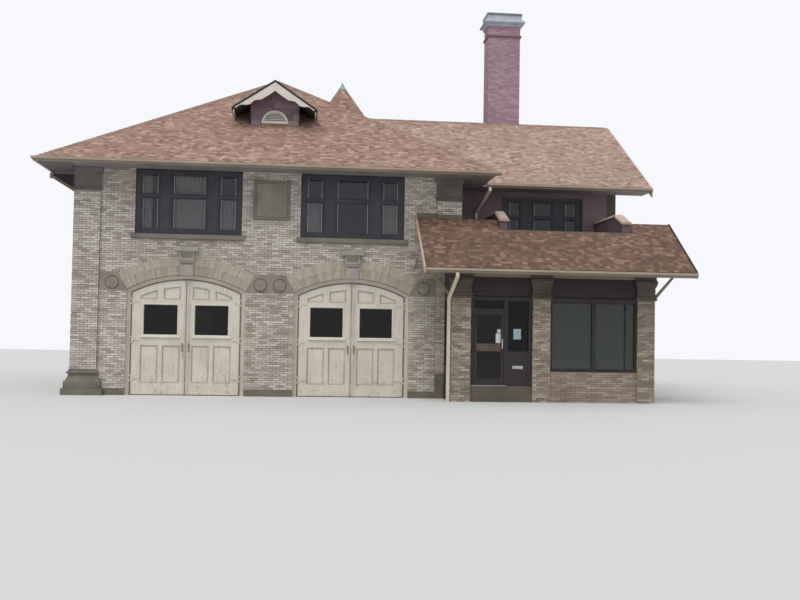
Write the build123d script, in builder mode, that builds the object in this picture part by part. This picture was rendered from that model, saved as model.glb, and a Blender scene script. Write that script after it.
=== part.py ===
"""Fire station: a two-storey vehicle house with a lower wing, in millimetres, +Z up.

The front faces -Y. The origin is the middle of the underside of the vehicle house floor.
"""
from build123d import *
import math
import os

os.makedirs("parts", exist_ok=True)

# Small clearances and seats
gap = 0.3
cut_over = 10.0
leaf_gap = 8.0
leaf_meeting_gap = 12.0
brick_course = 67.7

# Vehicle house: outside walls
house_half = 5630.0
house_depth = 14500.0
wall_t = 400.0
front_y = -house_depth / 2
back_y = house_depth / 2
ground_floor_t = 100.0
upper_floor_z = 4100.0
upper_floor_t = 250.0
wall_top = 6620.0

# Corner piers: brick shafts with sunk joints, stone base and capital
pier_w = 750.0
pier_proud = 60.0
pier_joint_pitch = 6 * brick_course
pier_joint_h = 14.0
pier_joint_sink = 22.0
pier_first_joint = 1147.0

# Stone bases of the piers: foot, block, hollow slope, neck and round moulding
base_foot_grow = 205.0
base_foot_h = 185.0
base_block_grow = 145.0
base_block_h = 200.0
base_slope_h = 205.0
base_slope_steps = 4
base_neck_grow = 25.0
base_roll_grow = 75.0
base_roll_h = 105.0
base_top_grow = 15.0
base_top_h = 50.0
pier_shaft_z0 = base_foot_h + base_block_h + base_slope_h + base_roll_h + base_top_h

# Stone capitals of the piers: neck moulding, plain block and a spreading top
capital_neck_h = 149.0
capital_neck_grow = 42.0
capital_block_h = 370.0
capital_block_grow = 8.0
capital_top_h = 180.0
capital_top_grow = 110.0
capital_steps = 3
pier_shaft_z1 = wall_top - capital_top_h - capital_block_h - capital_neck_h

# Arched vehicle doorways
door_off = 44.0
door_centre = (house_half + pier_proud - pier_w) / 2 - door_off
door_half = 1712.0
door_crown = 3528.0
door_rise = 445.0
door_radius = (door_half ** 2 + door_rise ** 2) / (2 * door_rise)
door_arc_z = door_crown - door_radius
door_spring = door_crown - door_rise
arch_ring = 540.0
arch_ring_depth = 120.0
casing_w = 150.0
casing_depth = 180.0
casing_reveal = 100.0
leaf_t = 60.0
leaf_bottom = 20.0
hinge_proud = 20.0
hinge_r = 12.0
hinge_h = 110.0
hinge_fixed_h = 45.0
hinge_strap_w = 60.0
hinge_strap_t = 4.0
hinge_low_z = 500.0
hinge_pitch = 1120.0
hinge_heights = [hinge_low_z + i * hinge_pitch for i in range(3)]

# Panels, glass and pulls of the vehicle door leaves
panel_cut = 22.0
leaf_glass_z0 = 1760.0
leaf_glass_h = 900.0
leaf_glass_in = 240.0
leaf_glass_rim = 320.0
leaf_glass_set = 26.0
low_panel_z0 = 390.0
low_panel_h = 1060.0
low_panel_side = 60.0
low_panel_mid = 75.0
top_panel_z = 2825.0
top_panel_in = 184.0
top_panel_side = 239.0
top_panel_mid = 200.0
top_panel_rim = 185.0
glass_sill_proud = 30.0
glass_sill_h = 50.0
glass_sill_side = 50.0
pull_z = 1270.0
pull_h = 260.0
pull_w = 30.0
pull_t = 20.0
pull_out = 55.0
pull_in = 95.0

# Keystones: a tapering body, a square block and a cap
key_cap_half = 310.0
key_cap_h = 120.0
key_cap_proud = 150.0
key_block_half = 220.0
key_block_h = 275.0
key_block_proud = 110.0
key_top_half = 205.0
key_low_half = 185.0
key_body_h = 443.0
key_body_proud = 85.0
key_hang = 11.0

# Stones beside and between the arches, with raised discs
stone_z0 = 3075.0
stone_h = 510.0
stone_proud = 25.0
stone_low_clear = 15.0
stone_high_clear = -8.0
disc_r = 180.0
disc_proud = 20.0
disc_z = 3280.0
disc_middle_in = 72.0
disc_outer_out = 21.0

# Stone course along the foot of the walls
plinth_h = 190.0
plinth_proud = 30.0

# Upper windows in threes
triple_off = 16.0
triple_centre = door_centre - triple_off
triple_half = 1552.0
triple_glass_mid = 500.0
triple_glass_in = 872.0
triple_glass_out = 1390.0
sill_top = 4720.0
sill_h = 130.0
sill_half = 1660.0
sill_proud = 70.0
window_head = 6580.0
meeting_rail_z = 5850.0
frame_back = 90.0
frame_t = 110.0
glass_t = 12.0
glass_set = 60.0
rail_h = 60.0
pane_low_rim = 140.0
pane_top_rim = 70.0

# Plain stone plaque between the upper windows
plaque_half = 520.0
plaque_z0 = 5230.0
plaque_h = 1130.0
plaque_t = 50.0
plaque_rim = 60.0
plaque_sink = 18.0

# Single windows on the sides and the back
single_half = 560.0
single_rim = 90.0
single_sill_over = 90.0
single_low_z = 1150.0
single_low_h = 1750.0
single_low_head = single_low_z + single_low_h
side_window_pitch = 4300.0
back_window_pitch = 3300.0
side_window_y = (-side_window_pitch, 0.0, side_window_pitch)
back_window_x = (-back_window_pitch, 0.0, back_window_pitch)

# Roof: one pitch throughout
pitch = 0.61
eave_over = 940.0
roof_t = 170.0
eave_z = 6740.0
eave_edge = 60.0
soffit_t = 20.0
fascia_t = 30.0
gutter_w = 130.0
gutter_h = 125.0
gutter_wall = 8.0
gutter_drop = 15.0
gutter_end_gap = 20.0
pipe_w = 90.0
pipe_t = 72.0
pipe_clear = 5.0
pipe_neck = 100.0
pipe_neck_slope = 0.6
wing_pipe_back = 260.0
pent_pipe_clear = 45.0
left_pipe_in = 1250.0

# Wing, set in front of the house on the right
wing_inset = 420.0
wing_width = 6000.0
wing_x0 = house_half - wing_inset
wing_x1 = wing_x0 + wing_width
wing_proud = 1450.0
wing_front_y = front_y - wing_proud
wing_floor_z = 460.0
wing_floor_t = 150.0
wing_wall_t = 300.0
wing_upper_set = 2340.0
wing_upper_y = front_y + wing_upper_set
wing_upper_depth = 7720.0
wing_back_y = wing_upper_y + wing_upper_depth
wing_roof_over = 900.0
wing_roof_start = 1500.0
wing_pilaster_w = 560.0
wing_mid_w = 510.0
wing_end_w = 510.0
entry_w = 1820.0
wing_pilaster_proud = 60.0
header_z0 = 2960.0
header_z1 = 3700.0
header_set = 20.0
low_wall_top = 890.0

# Stone-like courses at the head of the wing's brick piers
course_neck_z = 2997.0
course_neck_h = 114.0
course_neck_grow = 35.0
course_block_grow = 10.0
course_top_z = 3400.0
course_top_h = 170.0
course_top_grow = 60.0

# Side return of the wing, with its glass
side_t = 120.0
side_glass_in = 150.0
side_glass_z0 = 1000.0
side_glass_z1 = 2850.0
side_glass_set = 50.0

# Shop window and entrance
frame_depth = 100.0
door_in = 115.0
door_w = 870.0
door_z0 = 495.0
door_h = 2110.0
door_leaf_t = 45.0
door_gap = 10.0
door_rim = 80.0
door_top_rim = 90.0
door_low_rim = 145.0
mid_rail_z = 1450.0
mid_rail_h = 230.0
threshold_h = 20.0
side_light_in = 115.0
side_light_out = 100.0
transom_z = 2672.0
transom_rim = 40.0
mullion_in = 1270.0
mullion_w = 70.0
shop_rim = 60.0
shop_glass_set = 50.0
door_glass_set = 16.0
entry_hinge_low = 700.0
entry_hinge_pitch = 850.0
entry_hinges = [entry_hinge_low + i * entry_hinge_pitch for i in range(3)]
entry_pull_z = 1545.0
entry_pull_h = 230.0
entry_pull_w = 25.0
entry_pull_in = 52.0

# Pent roof over the shop front
pent_over_left = 880.0
pent_over_right = 900.0
pent_x0 = wing_x0 - pent_over_left
pent_x1 = wing_x1 + pent_over_right
pent_top_z = 5400.0
pent_eave_z = 3780.0
pent_over_front = 900.0
pent_wall_clear = 15.0
pent_eave_y = wing_front_y - pent_over_front
pent_top_y = front_y - pier_proud - pent_wall_clear
pent_t = 110.0
pent_slope = (pent_top_z - pent_eave_z) / (pent_top_y - pent_eave_y)
pent_drop = pent_t * math.sqrt(1 + pent_slope ** 2)
pent_gutter_drop = 20.0
pent_board_hang = 20.0
bracket_reach = 840.0
bracket_w = 110.0
bracket_set = 120.0
brace_foot_z = 2950.0
brace_foot_h = 120.0
brace_reach = 560.0
brace_t = 80.0

# Well in the pent roof in front of the wing's upper window
well_in = 1370.0
well_w = 3500.0
well_x0 = house_half + well_in
well_x1 = well_x0 + well_w
well_front_z = 5040.0
well_cut = 1500.0
cheek_w = 240.0
cheek_low = 5330.0
cheek_high = 5620.0
cheek_bend = 170.0
coping_t = 80.0
coping_nose = 20.0
coping_side = 30.0
deck_z = 4960.0
deck_t = 100.0
deck_reach = 250.0

# Window in threes in the wing's upper wall
upper_win_half = 1300.0
upper_win_z0 = 5260.0
upper_win_h = 1140.0
upper_win_set = 40.0
upper_low_rim = 110.0
upper_top_rim = 80.0
upper_meeting_z = 5800.0
upper_glass_mid = 300.0
upper_glass_in = 750.0
upper_glass_out = 1120.0

# Dormer on the front slope
dormer_half = 735.0
dormer_set = 1750.0
dormer_y = front_y + dormer_set
dormer_roof_reach = 470.0
dormer_front_y = dormer_y - dormer_roof_reach
dormer_ridge_z = 9700.0
dormer_pitch = 0.67
dormer_eave_half = 1310.0
dormer_roof_t = 90.0
dormer_ridge_t = 112.5
dormer_wall_t = 120.0
dormer_seat = 300.0
barge_t = 45.0
barge_half = 1280.0
barge_mid_drop = 400.0
barge_shoulder_x = 560.0
barge_shoulder_drop = 340.0
barge_hip_x = 860.0
barge_hip_drop = 250.0
barge_end_drop = 60.0
barge_lift = 8.0
barge_scallop = 45.0
vent_r = 420.0
vent_z = 8440.0
vent_rim = 65.0
vent_rim_t = 45.0
vent_back_t = 8.0
vent_slats = 6
slat_pitch = 50.0
slat_lift = 4.0
slat_t = 8.0
slat_fall = 30.0
slat_out = 24.0

# Hose tower behind the ridge
tower_x = 2550.0
tower_from_back = 2000.0
tower_y = back_y - tower_from_back
tower_half = 1200.0
tower_over = 300.0
tower_eave_z = 9900.0
tower_apex_z = 12400.0
tower_wall_t = 250.0
tower_roof_t = 260.0
tower_cut_over = 200.0
tower_cap_h = 240.0
tower_cap_over = 45.0
tower_cap_rim_h = 60.0
tower_cap_peak = 100.0

# Chimney behind the wing's ridge
chimney_in = 1975.0
chimney_w = 1165.0
chimney_depth = 820.0
chimney_set = 20.0
chimney_top = 13260.0
chimney_string_drop = 315.0
chimney_string_h = 90.0
chimney_string_grow = 35.0
chimney_neck_h = 60.0
chimney_neck_grow = 40.0
chimney_cove_h = 50.0
chimney_cove_grow = 110.0
chimney_slab_h = 90.0
chimney_slab_grow = 165.0
chimney_slope_h = 60.0
chimney_slope_grow = 95.0
chimney_hood_h = 240.0
chimney_hood_grow = 65.0
chimney_mouth_in = 200.0
chimney_mouth_h = 150.0

# Painted rake boards
rake_t = 40.0
rake_lift = 15.0
rake_hang = 30.0
gable_lift = 10.0
gable_board_h = 240.0
gable_peak_h = 390.0


def block(x0, x1, y0, y1, z0, z1, mode=Mode.ADD):
    """A box between two opposite corners."""
    with Locations(((x0 + x1) / 2, (y0 + y1) / 2, (z0 + z1) / 2)):
        Box(x1 - x0, y1 - y0, z1 - z0, mode=mode)


def prism_y(points, y0, y1, mode=Mode.ADD):
    """A profile given as (x, z) points, run from y0 to y1."""
    plane = Plane(origin=(0, y0, 0), x_dir=(1, 0, 0), z_dir=(0, -1, 0))
    with BuildSketch(plane) as outline:
        Polygon(*points, align=None)
    extrude(outline.sketch, amount=y0 - y1, mode=mode)


def prism_x(points, x0, x1, mode=Mode.ADD):
    """A profile given as (y, z) points, run from x0 to x1."""
    plane = Plane(origin=(x0, 0, 0), x_dir=(0, 1, 0), z_dir=(1, 0, 0))
    with BuildSketch(plane) as outline:
        Polygon(*points, align=None)
    extrude(outline.sketch, amount=x1 - x0, mode=mode)


def segment_y(cx, half, z0, radius, arc_z, y0, y1, mode=Mode.ADD):
    """An upright slab from y0 to y1 with an arched head of the given radius about (cx, arc_z)."""
    side_z = arc_z + math.sqrt(radius ** 2 - half ** 2)
    plane = Plane(origin=(cx, y0, 0), x_dir=(1, 0, 0), z_dir=(0, -1, 0))
    with BuildSketch(plane) as outline:
        with BuildLine():
            Line((-half, side_z), (-half, z0))
            Line((-half, z0), (half, z0))
            Line((half, z0), (half, side_z))
            ThreePointArc((half, side_z), (0, arc_z + radius), (-half, side_z))
        make_face()
    extrude(outline.sketch, amount=y0 - y1, mode=mode)


def save(part, name):
    """Label a part and write its file."""
    part.label = name
    export_step(part, f"parts/{name}.step")


# Ground floor of the vehicle house, behind the closed door leaves
with BuildPart() as house_floor:
    block(-house_half + wall_t, house_half - wall_t, front_y + wall_t, back_y - wall_t, 0, ground_floor_t)
    for cx in (-door_centre, door_centre):
        block(cx - door_half + casing_w, cx + door_half - casing_w,
              front_y + casing_reveal + leaf_t + 2 * leaf_gap, front_y + wall_t, 0, ground_floor_t)
save(house_floor.part, "house_floor")

# Front wall below the arches: three brick pieces beside the two doorways
with BuildPart() as front_jamb_walls:
    block(-house_half, -door_centre - door_half, front_y, front_y + wall_t, 0, door_spring)
    block(-door_centre + door_half, door_centre - door_half, front_y, front_y + wall_t, 0, door_spring)
    block(door_centre + door_half, house_half, front_y, front_y + wall_t, 0, door_spring)
save(front_jamb_walls.part, "front_jamb_walls")

def arch_band(cx):
    """Front outline of the brick band over one doorway, between two arcs about the same centre."""
    outer_r = door_radius + arch_ring
    inner = (door_half, door_spring)
    outer = (outer_r * door_half / door_radius, door_arc_z + outer_r * (door_spring - door_arc_z) / door_radius)
    with BuildSketch(Plane(origin=(cx, front_y, 0), x_dir=(1, 0, 0), z_dir=(0, -1, 0))) as band:
        with BuildLine():
            Line((-inner[0], inner[1]), (-outer[0], outer[1]))
            ThreePointArc((-outer[0], outer[1]), (0, door_arc_z + outer_r), outer)
            Line(outer, inner)
            ThreePointArc(inner, (0, door_crown), (-inner[0], inner[1]))
        make_face()
    return band.sketch


# Front wall from the springing up to the window sills, with the brick arches let into its face
arch_wall_top = sill_top - sill_h
with BuildPart() as front_arch_wall:
    block(-house_half, house_half, front_y, front_y + wall_t, door_spring, arch_wall_top)
    for cx in (-door_centre, door_centre):
        segment_y(cx, door_half, 0, door_radius, door_arc_z, front_y - gap, front_y + wall_t + gap, Mode.SUBTRACT)
        extrude(arch_band(cx), amount=-arch_ring_depth, mode=Mode.SUBTRACT)
save(front_arch_wall.part, "front_arch_wall")

# Brick arches over the two doorways
with BuildPart() as door_arches:
    for cx in (-door_centre, door_centre):
        extrude(arch_band(cx), amount=-arch_ring_depth)
save(door_arches.part, "door_arches")

# Keystones stand on the face of each arch: a tapering body, a square block and a cap
key_low_z = door_crown - key_hang
key_block_z = key_low_z + key_body_h
key_cap_z = key_block_z + key_block_h
with BuildPart() as keystones:
    for cx in (-door_centre, door_centre):
        block(cx - key_cap_half, cx + key_cap_half, front_y - key_cap_proud, front_y, key_cap_z, key_cap_z + key_cap_h)
        block(cx - key_block_half, cx + key_block_half, front_y - key_block_proud, front_y, key_block_z, key_cap_z)
        prism_y([(cx - key_low_half, key_low_z), (cx + key_low_half, key_low_z),
                 (cx + key_top_half, key_block_z), (cx - key_top_half, key_block_z)],
                front_y - key_body_proud, front_y)
save(keystones.part, "keystones")

# Stones between the arches and beside them, each with raised discs
stone_z1 = stone_z0 + stone_h
band_low_x = door_half + stone_low_clear
band_high_x = (door_radius + arch_ring) * door_half / door_radius + stone_high_clear
stone_end = house_half + pier_proud - pier_w - gap
with BuildPart() as spandrel_stones:
    for side in (-1, 1):
        prism_y([(side * stone_end, stone_z0), (side * (door_centre + band_low_x), stone_z0),
                 (side * (door_centre + band_high_x), stone_z1), (side * stone_end, stone_z1)][::side],
                front_y - stone_proud, front_y)
    prism_y([(-door_centre + band_low_x, stone_z0), (door_centre - band_low_x, stone_z0),
             (door_centre - band_high_x, stone_z1), (-door_centre + band_high_x, stone_z1)],
            front_y - stone_proud, front_y)
    outer_disc = (door_centre + door_half + stone_end + gap) / 2 + disc_outer_out
    middle_disc = (door_centre - door_half) / 2 - disc_middle_in
    with BuildSketch(Plane(origin=(0, front_y - stone_proud, 0), x_dir=(1, 0, 0), z_dir=(0, -1, 0))) as discs:
        with Locations(*[(x, disc_z) for x in (-outer_disc, -middle_disc, middle_disc, outer_disc)]):
            Circle(disc_r)
    extrude(discs.sketch, amount=disc_proud)
save(spandrel_stones.part, "spandrel_stones")

# Front wall beside and between the upper windows
with BuildPart() as front_upper_walls:
    block(-house_half, -triple_centre - triple_half, front_y, front_y + wall_t, arch_wall_top, wall_top)
    block(-triple_centre + triple_half, triple_centre - triple_half, front_y, front_y + wall_t, arch_wall_top, wall_top)
    block(triple_centre + triple_half, house_half, front_y, front_y + wall_t, arch_wall_top, wall_top)
save(front_upper_walls.part, "front_upper_walls")

# Side and back walls with single windows on both storeys
def wall_openings_x(x0, x1):
    """Cut the single windows of both storeys through a side wall."""
    for y in side_window_y:
        block(x0, x1, y - single_half, y + single_half, sill_top, window_head, Mode.SUBTRACT)
        block(x0, x1, y - single_half, y + single_half, single_low_z, single_low_head, Mode.SUBTRACT)


with BuildPart() as left_wall:
    block(-house_half, -house_half + wall_t, front_y + wall_t, back_y - wall_t, 0, wall_top)
    wall_openings_x(-house_half - gap, -house_half + wall_t + gap)
save(left_wall.part, "left_wall")

with BuildPart() as right_wall:
    block(house_half - wall_t, house_half, front_y + wall_t, back_y - wall_t, 0, wall_top)
save(right_wall.part, "right_wall")

with BuildPart() as back_wall:
    block(-house_half, house_half, back_y - wall_t, back_y, 0, wall_top)
    for x in back_window_x:
        block(x - single_half, x + single_half, back_y - wall_t - gap, back_y + gap, sill_top, window_head,
              Mode.SUBTRACT)
        block(x - single_half, x + single_half, back_y - wall_t - gap, back_y + gap, single_low_z, single_low_head,
              Mode.SUBTRACT)
save(back_wall.part, "back_wall")

# Upper floor of the vehicle house
with BuildPart() as upper_floor:
    block(-house_half + wall_t, house_half - wall_t, front_y + wall_t, back_y - wall_t,
          upper_floor_z - upper_floor_t, upper_floor_z)
    block(house_half, wing_x1 - wing_wall_t, wing_upper_y + wing_wall_t, wing_back_y - wing_wall_t,
          upper_floor_z - upper_floor_t, upper_floor_z)
save(upper_floor.part, "upper_floor")

# Corner piers: thin brick plates that wrap each corner, with sunk joints
pier_in = house_half + pier_proud - pier_w
pier_out = house_half + pier_proud


def pier_block(sx, sy, z0, z1, grow=0.0):
    """One level of a corner pier: an L-shaped plate on the outside of a corner."""
    yf = sy * (house_depth / 2)
    with BuildSketch(Plane.XY.offset(z0)) as plan:
        Polygon((sx * pier_in - sx * grow, yf), (sx * house_half, yf),
                (sx * house_half, yf - sy * (pier_w - pier_proud) - sy * grow),
                (sx * (pier_out + grow), yf - sy * (pier_w - pier_proud) - sy * grow),
                (sx * (pier_out + grow), yf + sy * (pier_proud + grow)),
                (sx * pier_in - sx * grow, yf + sy * (pier_proud + grow)), align=None)
    extrude(plan.sketch, amount=z1 - z0)


corners = ((-1, -1), (1, -1), (-1, 1), (1, 1))
joint_count = math.ceil((pier_shaft_z1 - pier_first_joint) / pier_joint_pitch)
joint_heights = [pier_first_joint + i * pier_joint_pitch for i in range(joint_count)]
with BuildPart() as corner_piers:
    for sx, sy in corners:
        pier_block(sx, sy, pier_shaft_z0, pier_shaft_z1)
    ring = pier_joint_sink
    yf = house_depth / 2 + pier_proud
    mid = (pier_in + pier_out) / 2
    side_mid = yf - pier_w / 2
    with Locations(*[(sx * mid, sy * (yf - ring / 2), z) for sx, sy in corners for z in joint_heights]):
        Box(pier_w + 2 * gap, ring, pier_joint_h, mode=Mode.SUBTRACT)
    with Locations(*[(sx * (pier_out - ring / 2), sy * side_mid, z) for sx, sy in corners for z in joint_heights]):
        Box(ring, pier_w + 2 * gap, pier_joint_h, mode=Mode.SUBTRACT)
save(corner_piers.part, "corner_piers")

# Stone bases of the free piers, and the plain foot of the pier that the wing stands against
slope_z = base_foot_h + base_block_h
roll_z = slope_z + base_slope_h
with BuildPart() as pier_bases:
    for sx, sy in corners:
        if (sx, sy) != (1, -1):
            pier_block(sx, sy, 0, base_foot_h, base_foot_grow)
            pier_block(sx, sy, base_foot_h, slope_z, base_block_grow)
            for i in range(base_slope_steps):
                step_h = base_slope_h / base_slope_steps
                step_grow = base_block_grow - (base_block_grow - base_neck_grow) * (i + 1) / base_slope_steps
                pier_block(sx, sy, slope_z + i * step_h, slope_z + (i + 1) * step_h, step_grow)
            pier_block(sx, sy, roll_z, roll_z + base_roll_h, base_roll_grow)
            pier_block(sx, sy, roll_z + base_roll_h, pier_shaft_z0, base_top_grow)
    pier_block(1, -1, 0, pier_shaft_z0)
save(pier_bases.part, "pier_bases")

# Stone capitals: neck moulding, plain block and spreading top under the soffit
capital_block_z = pier_shaft_z1 + capital_neck_h
capital_top_z = capital_block_z + capital_block_h
with BuildPart() as pier_capitals:
    for sx, sy in corners:
        pier_block(sx, sy, pier_shaft_z1, capital_block_z, capital_neck_grow)
        pier_block(sx, sy, capital_block_z, capital_top_z, capital_block_grow)
        for i in range(capital_steps):
            step_h = capital_top_h / capital_steps
            step_grow = capital_top_grow * (i + 1) / capital_steps
            pier_block(sx, sy, capital_top_z + i * step_h, capital_top_z + (i + 1) * step_h, step_grow)
save(pier_capitals.part, "pier_capitals")

# Low stone course along the foot of the walls
with BuildPart() as plinth:
    foot_in = pier_in - base_foot_grow - gap
    foot_y = house_depth / 2 + pier_proud - pier_w - base_foot_grow - gap
    block(-foot_in, -door_centre - door_half, front_y - plinth_proud, front_y, 0, plinth_h)
    block(-door_centre + door_half, door_centre - door_half, front_y - plinth_proud, front_y, 0, plinth_h)
    block(door_centre + door_half, pier_in, front_y - plinth_proud, front_y, 0, plinth_h)
    block(-house_half - plinth_proud, -house_half, -foot_y, foot_y, 0, plinth_h)
    block(-foot_in, foot_in, back_y, back_y + plinth_proud, 0, plinth_h)
save(plinth.part, "plinth")


def hinge_strap(edge_x, face_y, side, z0, z1):
    """A knuckle on a hinge axis and the flat strap that carries it, running to the given side."""
    with Locations((edge_x, face_y - hinge_proud, (z0 + z1) / 2)):
        Cylinder(hinge_r, z1 - z0)
    xs = sorted((edge_x, edge_x + side * hinge_strap_w))
    block(xs[0], xs[1], face_y - hinge_proud - hinge_strap_t, face_y, z0, z1)


def fixed_hinge(edge_x, face_y, side, z):
    """The frame's knuckles, seated above and below the knuckle of the leaf."""
    for sign in (-1, 1):
        zs = sorted((z + sign * (hinge_h / 2 + gap), z + sign * (hinge_h / 2 + gap + hinge_fixed_h)))
        hinge_strap(edge_x, face_y, side, *zs)


# Wooden casings of the two vehicle doorways
casing_inner_r = door_radius - casing_w
leaf_half = door_half - casing_w - leaf_gap
leaf_r = casing_inner_r - leaf_gap
casing_y0 = front_y + casing_reveal
casing_y1 = casing_y0 + casing_depth
with BuildPart() as door_casings:
    for cx in (-door_centre, door_centre):
        segment_y(cx, door_half, 0, door_radius, door_arc_z, casing_y0, casing_y1)
        segment_y(cx, door_half - casing_w, -gap, casing_inner_r, door_arc_z, casing_y0 - gap, casing_y1 + gap,
                  Mode.SUBTRACT)
        for side in (-1, 1):
            for z in hinge_heights:
                fixed_hinge(cx + side * leaf_half, casing_y0, side, z)
save(door_casings.part, "door_casings")

# Vehicle door leaves, two to an opening, each hung at its outer edge


def leaf_outline(cx, side, z0):
    """Front outline of one leaf: straight sides and the arched head it shares with its pair."""
    out = side * leaf_half
    mid = side * leaf_meeting_gap / 2
    half_way = (out + mid) / 2
    top = [(cx + x, door_arc_z + math.sqrt(leaf_r ** 2 - x ** 2)) for x in (out, half_way, mid)]
    with BuildSketch(Plane(origin=(0, casing_y0, 0), x_dir=(1, 0, 0), z_dir=(0, -1, 0))) as face:
        with BuildLine():
            Line((cx + mid, z0), (cx + out, z0))
            Line((cx + out, z0), top[0])
            ThreePointArc(*top)
            Line(top[2], (cx + mid, z0))
        make_face()
    return face.sketch


def top_panel(cx, side, x_in, x_out):
    """Sink one upper panel, whose head follows the arch."""
    r = leaf_r - top_panel_rim
    mid = (x_in + x_out) / 2
    top = [(cx + side * x, door_arc_z + math.sqrt(r ** 2 - x ** 2)) for x in (x_in, mid, x_out)]
    with BuildSketch(Plane(origin=(0, casing_y0, 0), x_dir=(1, 0, 0), z_dir=(0, -1, 0))) as face:
        with BuildLine():
            Line(top[2], (top[2][0], top_panel_z))
            Line((top[2][0], top_panel_z), (top[0][0], top_panel_z))
            Line((top[0][0], top_panel_z), top[0])
            ThreePointArc(*top)
        make_face()
    extrude(face.sketch, amount=-panel_cut, mode=Mode.SUBTRACT)


glass_span = (leaf_glass_in, leaf_half - leaf_glass_rim)
glass_middle = sum(glass_span) / 2
leaf_glass_z = (leaf_glass_z0, leaf_glass_z0 + leaf_glass_h)
low_panels = ((glass_span[0] - low_panel_side, glass_middle - low_panel_mid),
              (glass_middle + low_panel_mid, glass_span[1] + low_panel_side))
top_panel_w = (leaf_half - top_panel_side - top_panel_in - top_panel_mid) / 2
top_panels = ((top_panel_in, top_panel_in + top_panel_w),
              (top_panel_in + top_panel_w + top_panel_mid, leaf_half - top_panel_side))


def from_middle(cx, side, x_in, x_out):
    """Left and right edge of what lies between two distances from the middle of a doorway."""
    return sorted((cx + side * x_in, cx + side * x_out))


def pull_handle(x, face_y, z, w, h):
    """An upright pull on two posts that stand on the face of a door."""
    block(x - w / 2, x + w / 2, face_y - pull_out, face_y - pull_out + pull_t, z - h / 2, z + h / 2)
    for z0 in (z - h / 2, z + h / 2 - w):
        block(x - w / 2, x + w / 2, face_y - pull_out + pull_t, face_y, z0, z0 + w)


for cx, side, name in ((-door_centre, -1, "left_door_leaf_a"), (-door_centre, 1, "left_door_leaf_b"),
                       (door_centre, -1, "right_door_leaf_a"), (door_centre, 1, "right_door_leaf_b")):
    edge_x = cx + side * leaf_half
    with BuildPart() as leaf:
        extrude(leaf_outline(cx, side, leaf_bottom), amount=-leaf_t)
        block(*from_middle(cx, side, *glass_span), casing_y0 - gap, casing_y0 + leaf_t + gap, *leaf_glass_z,
              Mode.SUBTRACT)
        for x_in, x_out in low_panels:
            block(*from_middle(cx, side, x_in, x_out), casing_y0 - gap, casing_y0 + panel_cut,
                  low_panel_z0, low_panel_z0 + low_panel_h, Mode.SUBTRACT)
        for x_in, x_out in top_panels:
            top_panel(cx, side, x_in, x_out)
        block(*from_middle(cx, side, glass_span[0] - glass_sill_side, glass_span[1] + glass_sill_side),
              casing_y0 - glass_sill_proud, casing_y0, leaf_glass_z0 - cut_over - glass_sill_h, leaf_glass_z0 - cut_over)
        for z in hinge_heights:
            hinge_strap(edge_x, casing_y0, -side, z - hinge_h / 2, z + hinge_h / 2)
        pull_handle(cx + side * pull_in, casing_y0, pull_z, pull_w, pull_h)
    save(leaf.part, name)
    with BuildPart() as pane:
        block(*from_middle(cx, side, *glass_span), casing_y0 + leaf_glass_set, casing_y0 + leaf_glass_set + glass_t,
              *leaf_glass_z)
    save(pane.part, name + "_glass")

# Stone sills and plain stone plaque on the front, sills on the other sides
single_sill_half = single_half + single_sill_over
with BuildPart() as window_sills:
    for cx in (-triple_centre, triple_centre):
        block(cx - sill_half, cx + sill_half, front_y - sill_proud, front_y, sill_top - sill_h, sill_top)
        block(cx - triple_half, cx + triple_half, front_y, front_y + frame_back, sill_top - sill_h, sill_top)
    for z in (sill_top, single_low_z):
        for y in side_window_y:
            block(-house_half - sill_proud, -house_half, y - single_sill_half, y + single_sill_half, z - sill_h, z)
        for x in back_window_x:
            block(x - single_sill_half, x + single_sill_half, back_y, back_y + sill_proud, z - sill_h, z)
save(window_sills.part, "window_sills")

with BuildPart() as plaque:
    block(-plaque_half, plaque_half, front_y - plaque_t, front_y, plaque_z0, plaque_z0 + plaque_h)
    block(-plaque_half + plaque_rim, plaque_half - plaque_rim, front_y - plaque_t - gap,
          front_y - plaque_t + plaque_sink, plaque_z0 + plaque_rim, plaque_z0 + plaque_h - plaque_rim, Mode.SUBTRACT)
save(plaque.part, "plaque")

# Front windows in threes: one frame with two posts, and panes above and below the meeting rail
frame_y0 = front_y + frame_back
upper_frame_y = wing_upper_y + upper_win_set
upper_win_x = (well_x0 + well_x1) / 2
upper_win_z1 = upper_win_z0 + upper_win_h


def lights(glass_mid, glass_in, glass_out):
    """Pane edges along x, measured from the middle of a window in three lights."""
    return ((-glass_out, -glass_in), (-glass_mid, glass_mid), (glass_in, glass_out))


def panes(z0, meeting_z, z1):
    """Pane edges along z, below and above the meeting rail."""
    return ((z0, meeting_z - rail_h / 2), (meeting_z + rail_h / 2, z1))


house_panes = [(cx + x0, cx + x1, z0, z1) for cx in (-triple_centre, triple_centre)
               for x0, x1 in lights(triple_glass_mid, triple_glass_in, triple_glass_out)
               for z0, z1 in panes(sill_top + pane_low_rim, meeting_rail_z, window_head - pane_top_rim)]
wing_panes = [(upper_win_x + x0, upper_win_x + x1, z0, z1)
              for x0, x1 in lights(upper_glass_mid, upper_glass_in, upper_glass_out)
              for z0, z1 in panes(upper_win_z0 + upper_low_rim, upper_meeting_z, upper_win_z1 - upper_top_rim)]
with BuildPart() as front_windows:
    for cx in (-triple_centre, triple_centre):
        block(cx - triple_half, cx + triple_half, frame_y0, frame_y0 + frame_t, sill_top, wall_top)
    block(upper_win_x - upper_win_half, upper_win_x + upper_win_half, upper_frame_y, upper_frame_y + frame_t,
          upper_win_z0, upper_win_z1)
    for y, spots in ((frame_y0, house_panes), (upper_frame_y, wing_panes)):
        for x0, x1, z0, z1 in spots:
            block(x0, x1, y - gap, y + frame_t + gap, z0, z1, Mode.SUBTRACT)
save(front_windows.part, "front_windows")

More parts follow.
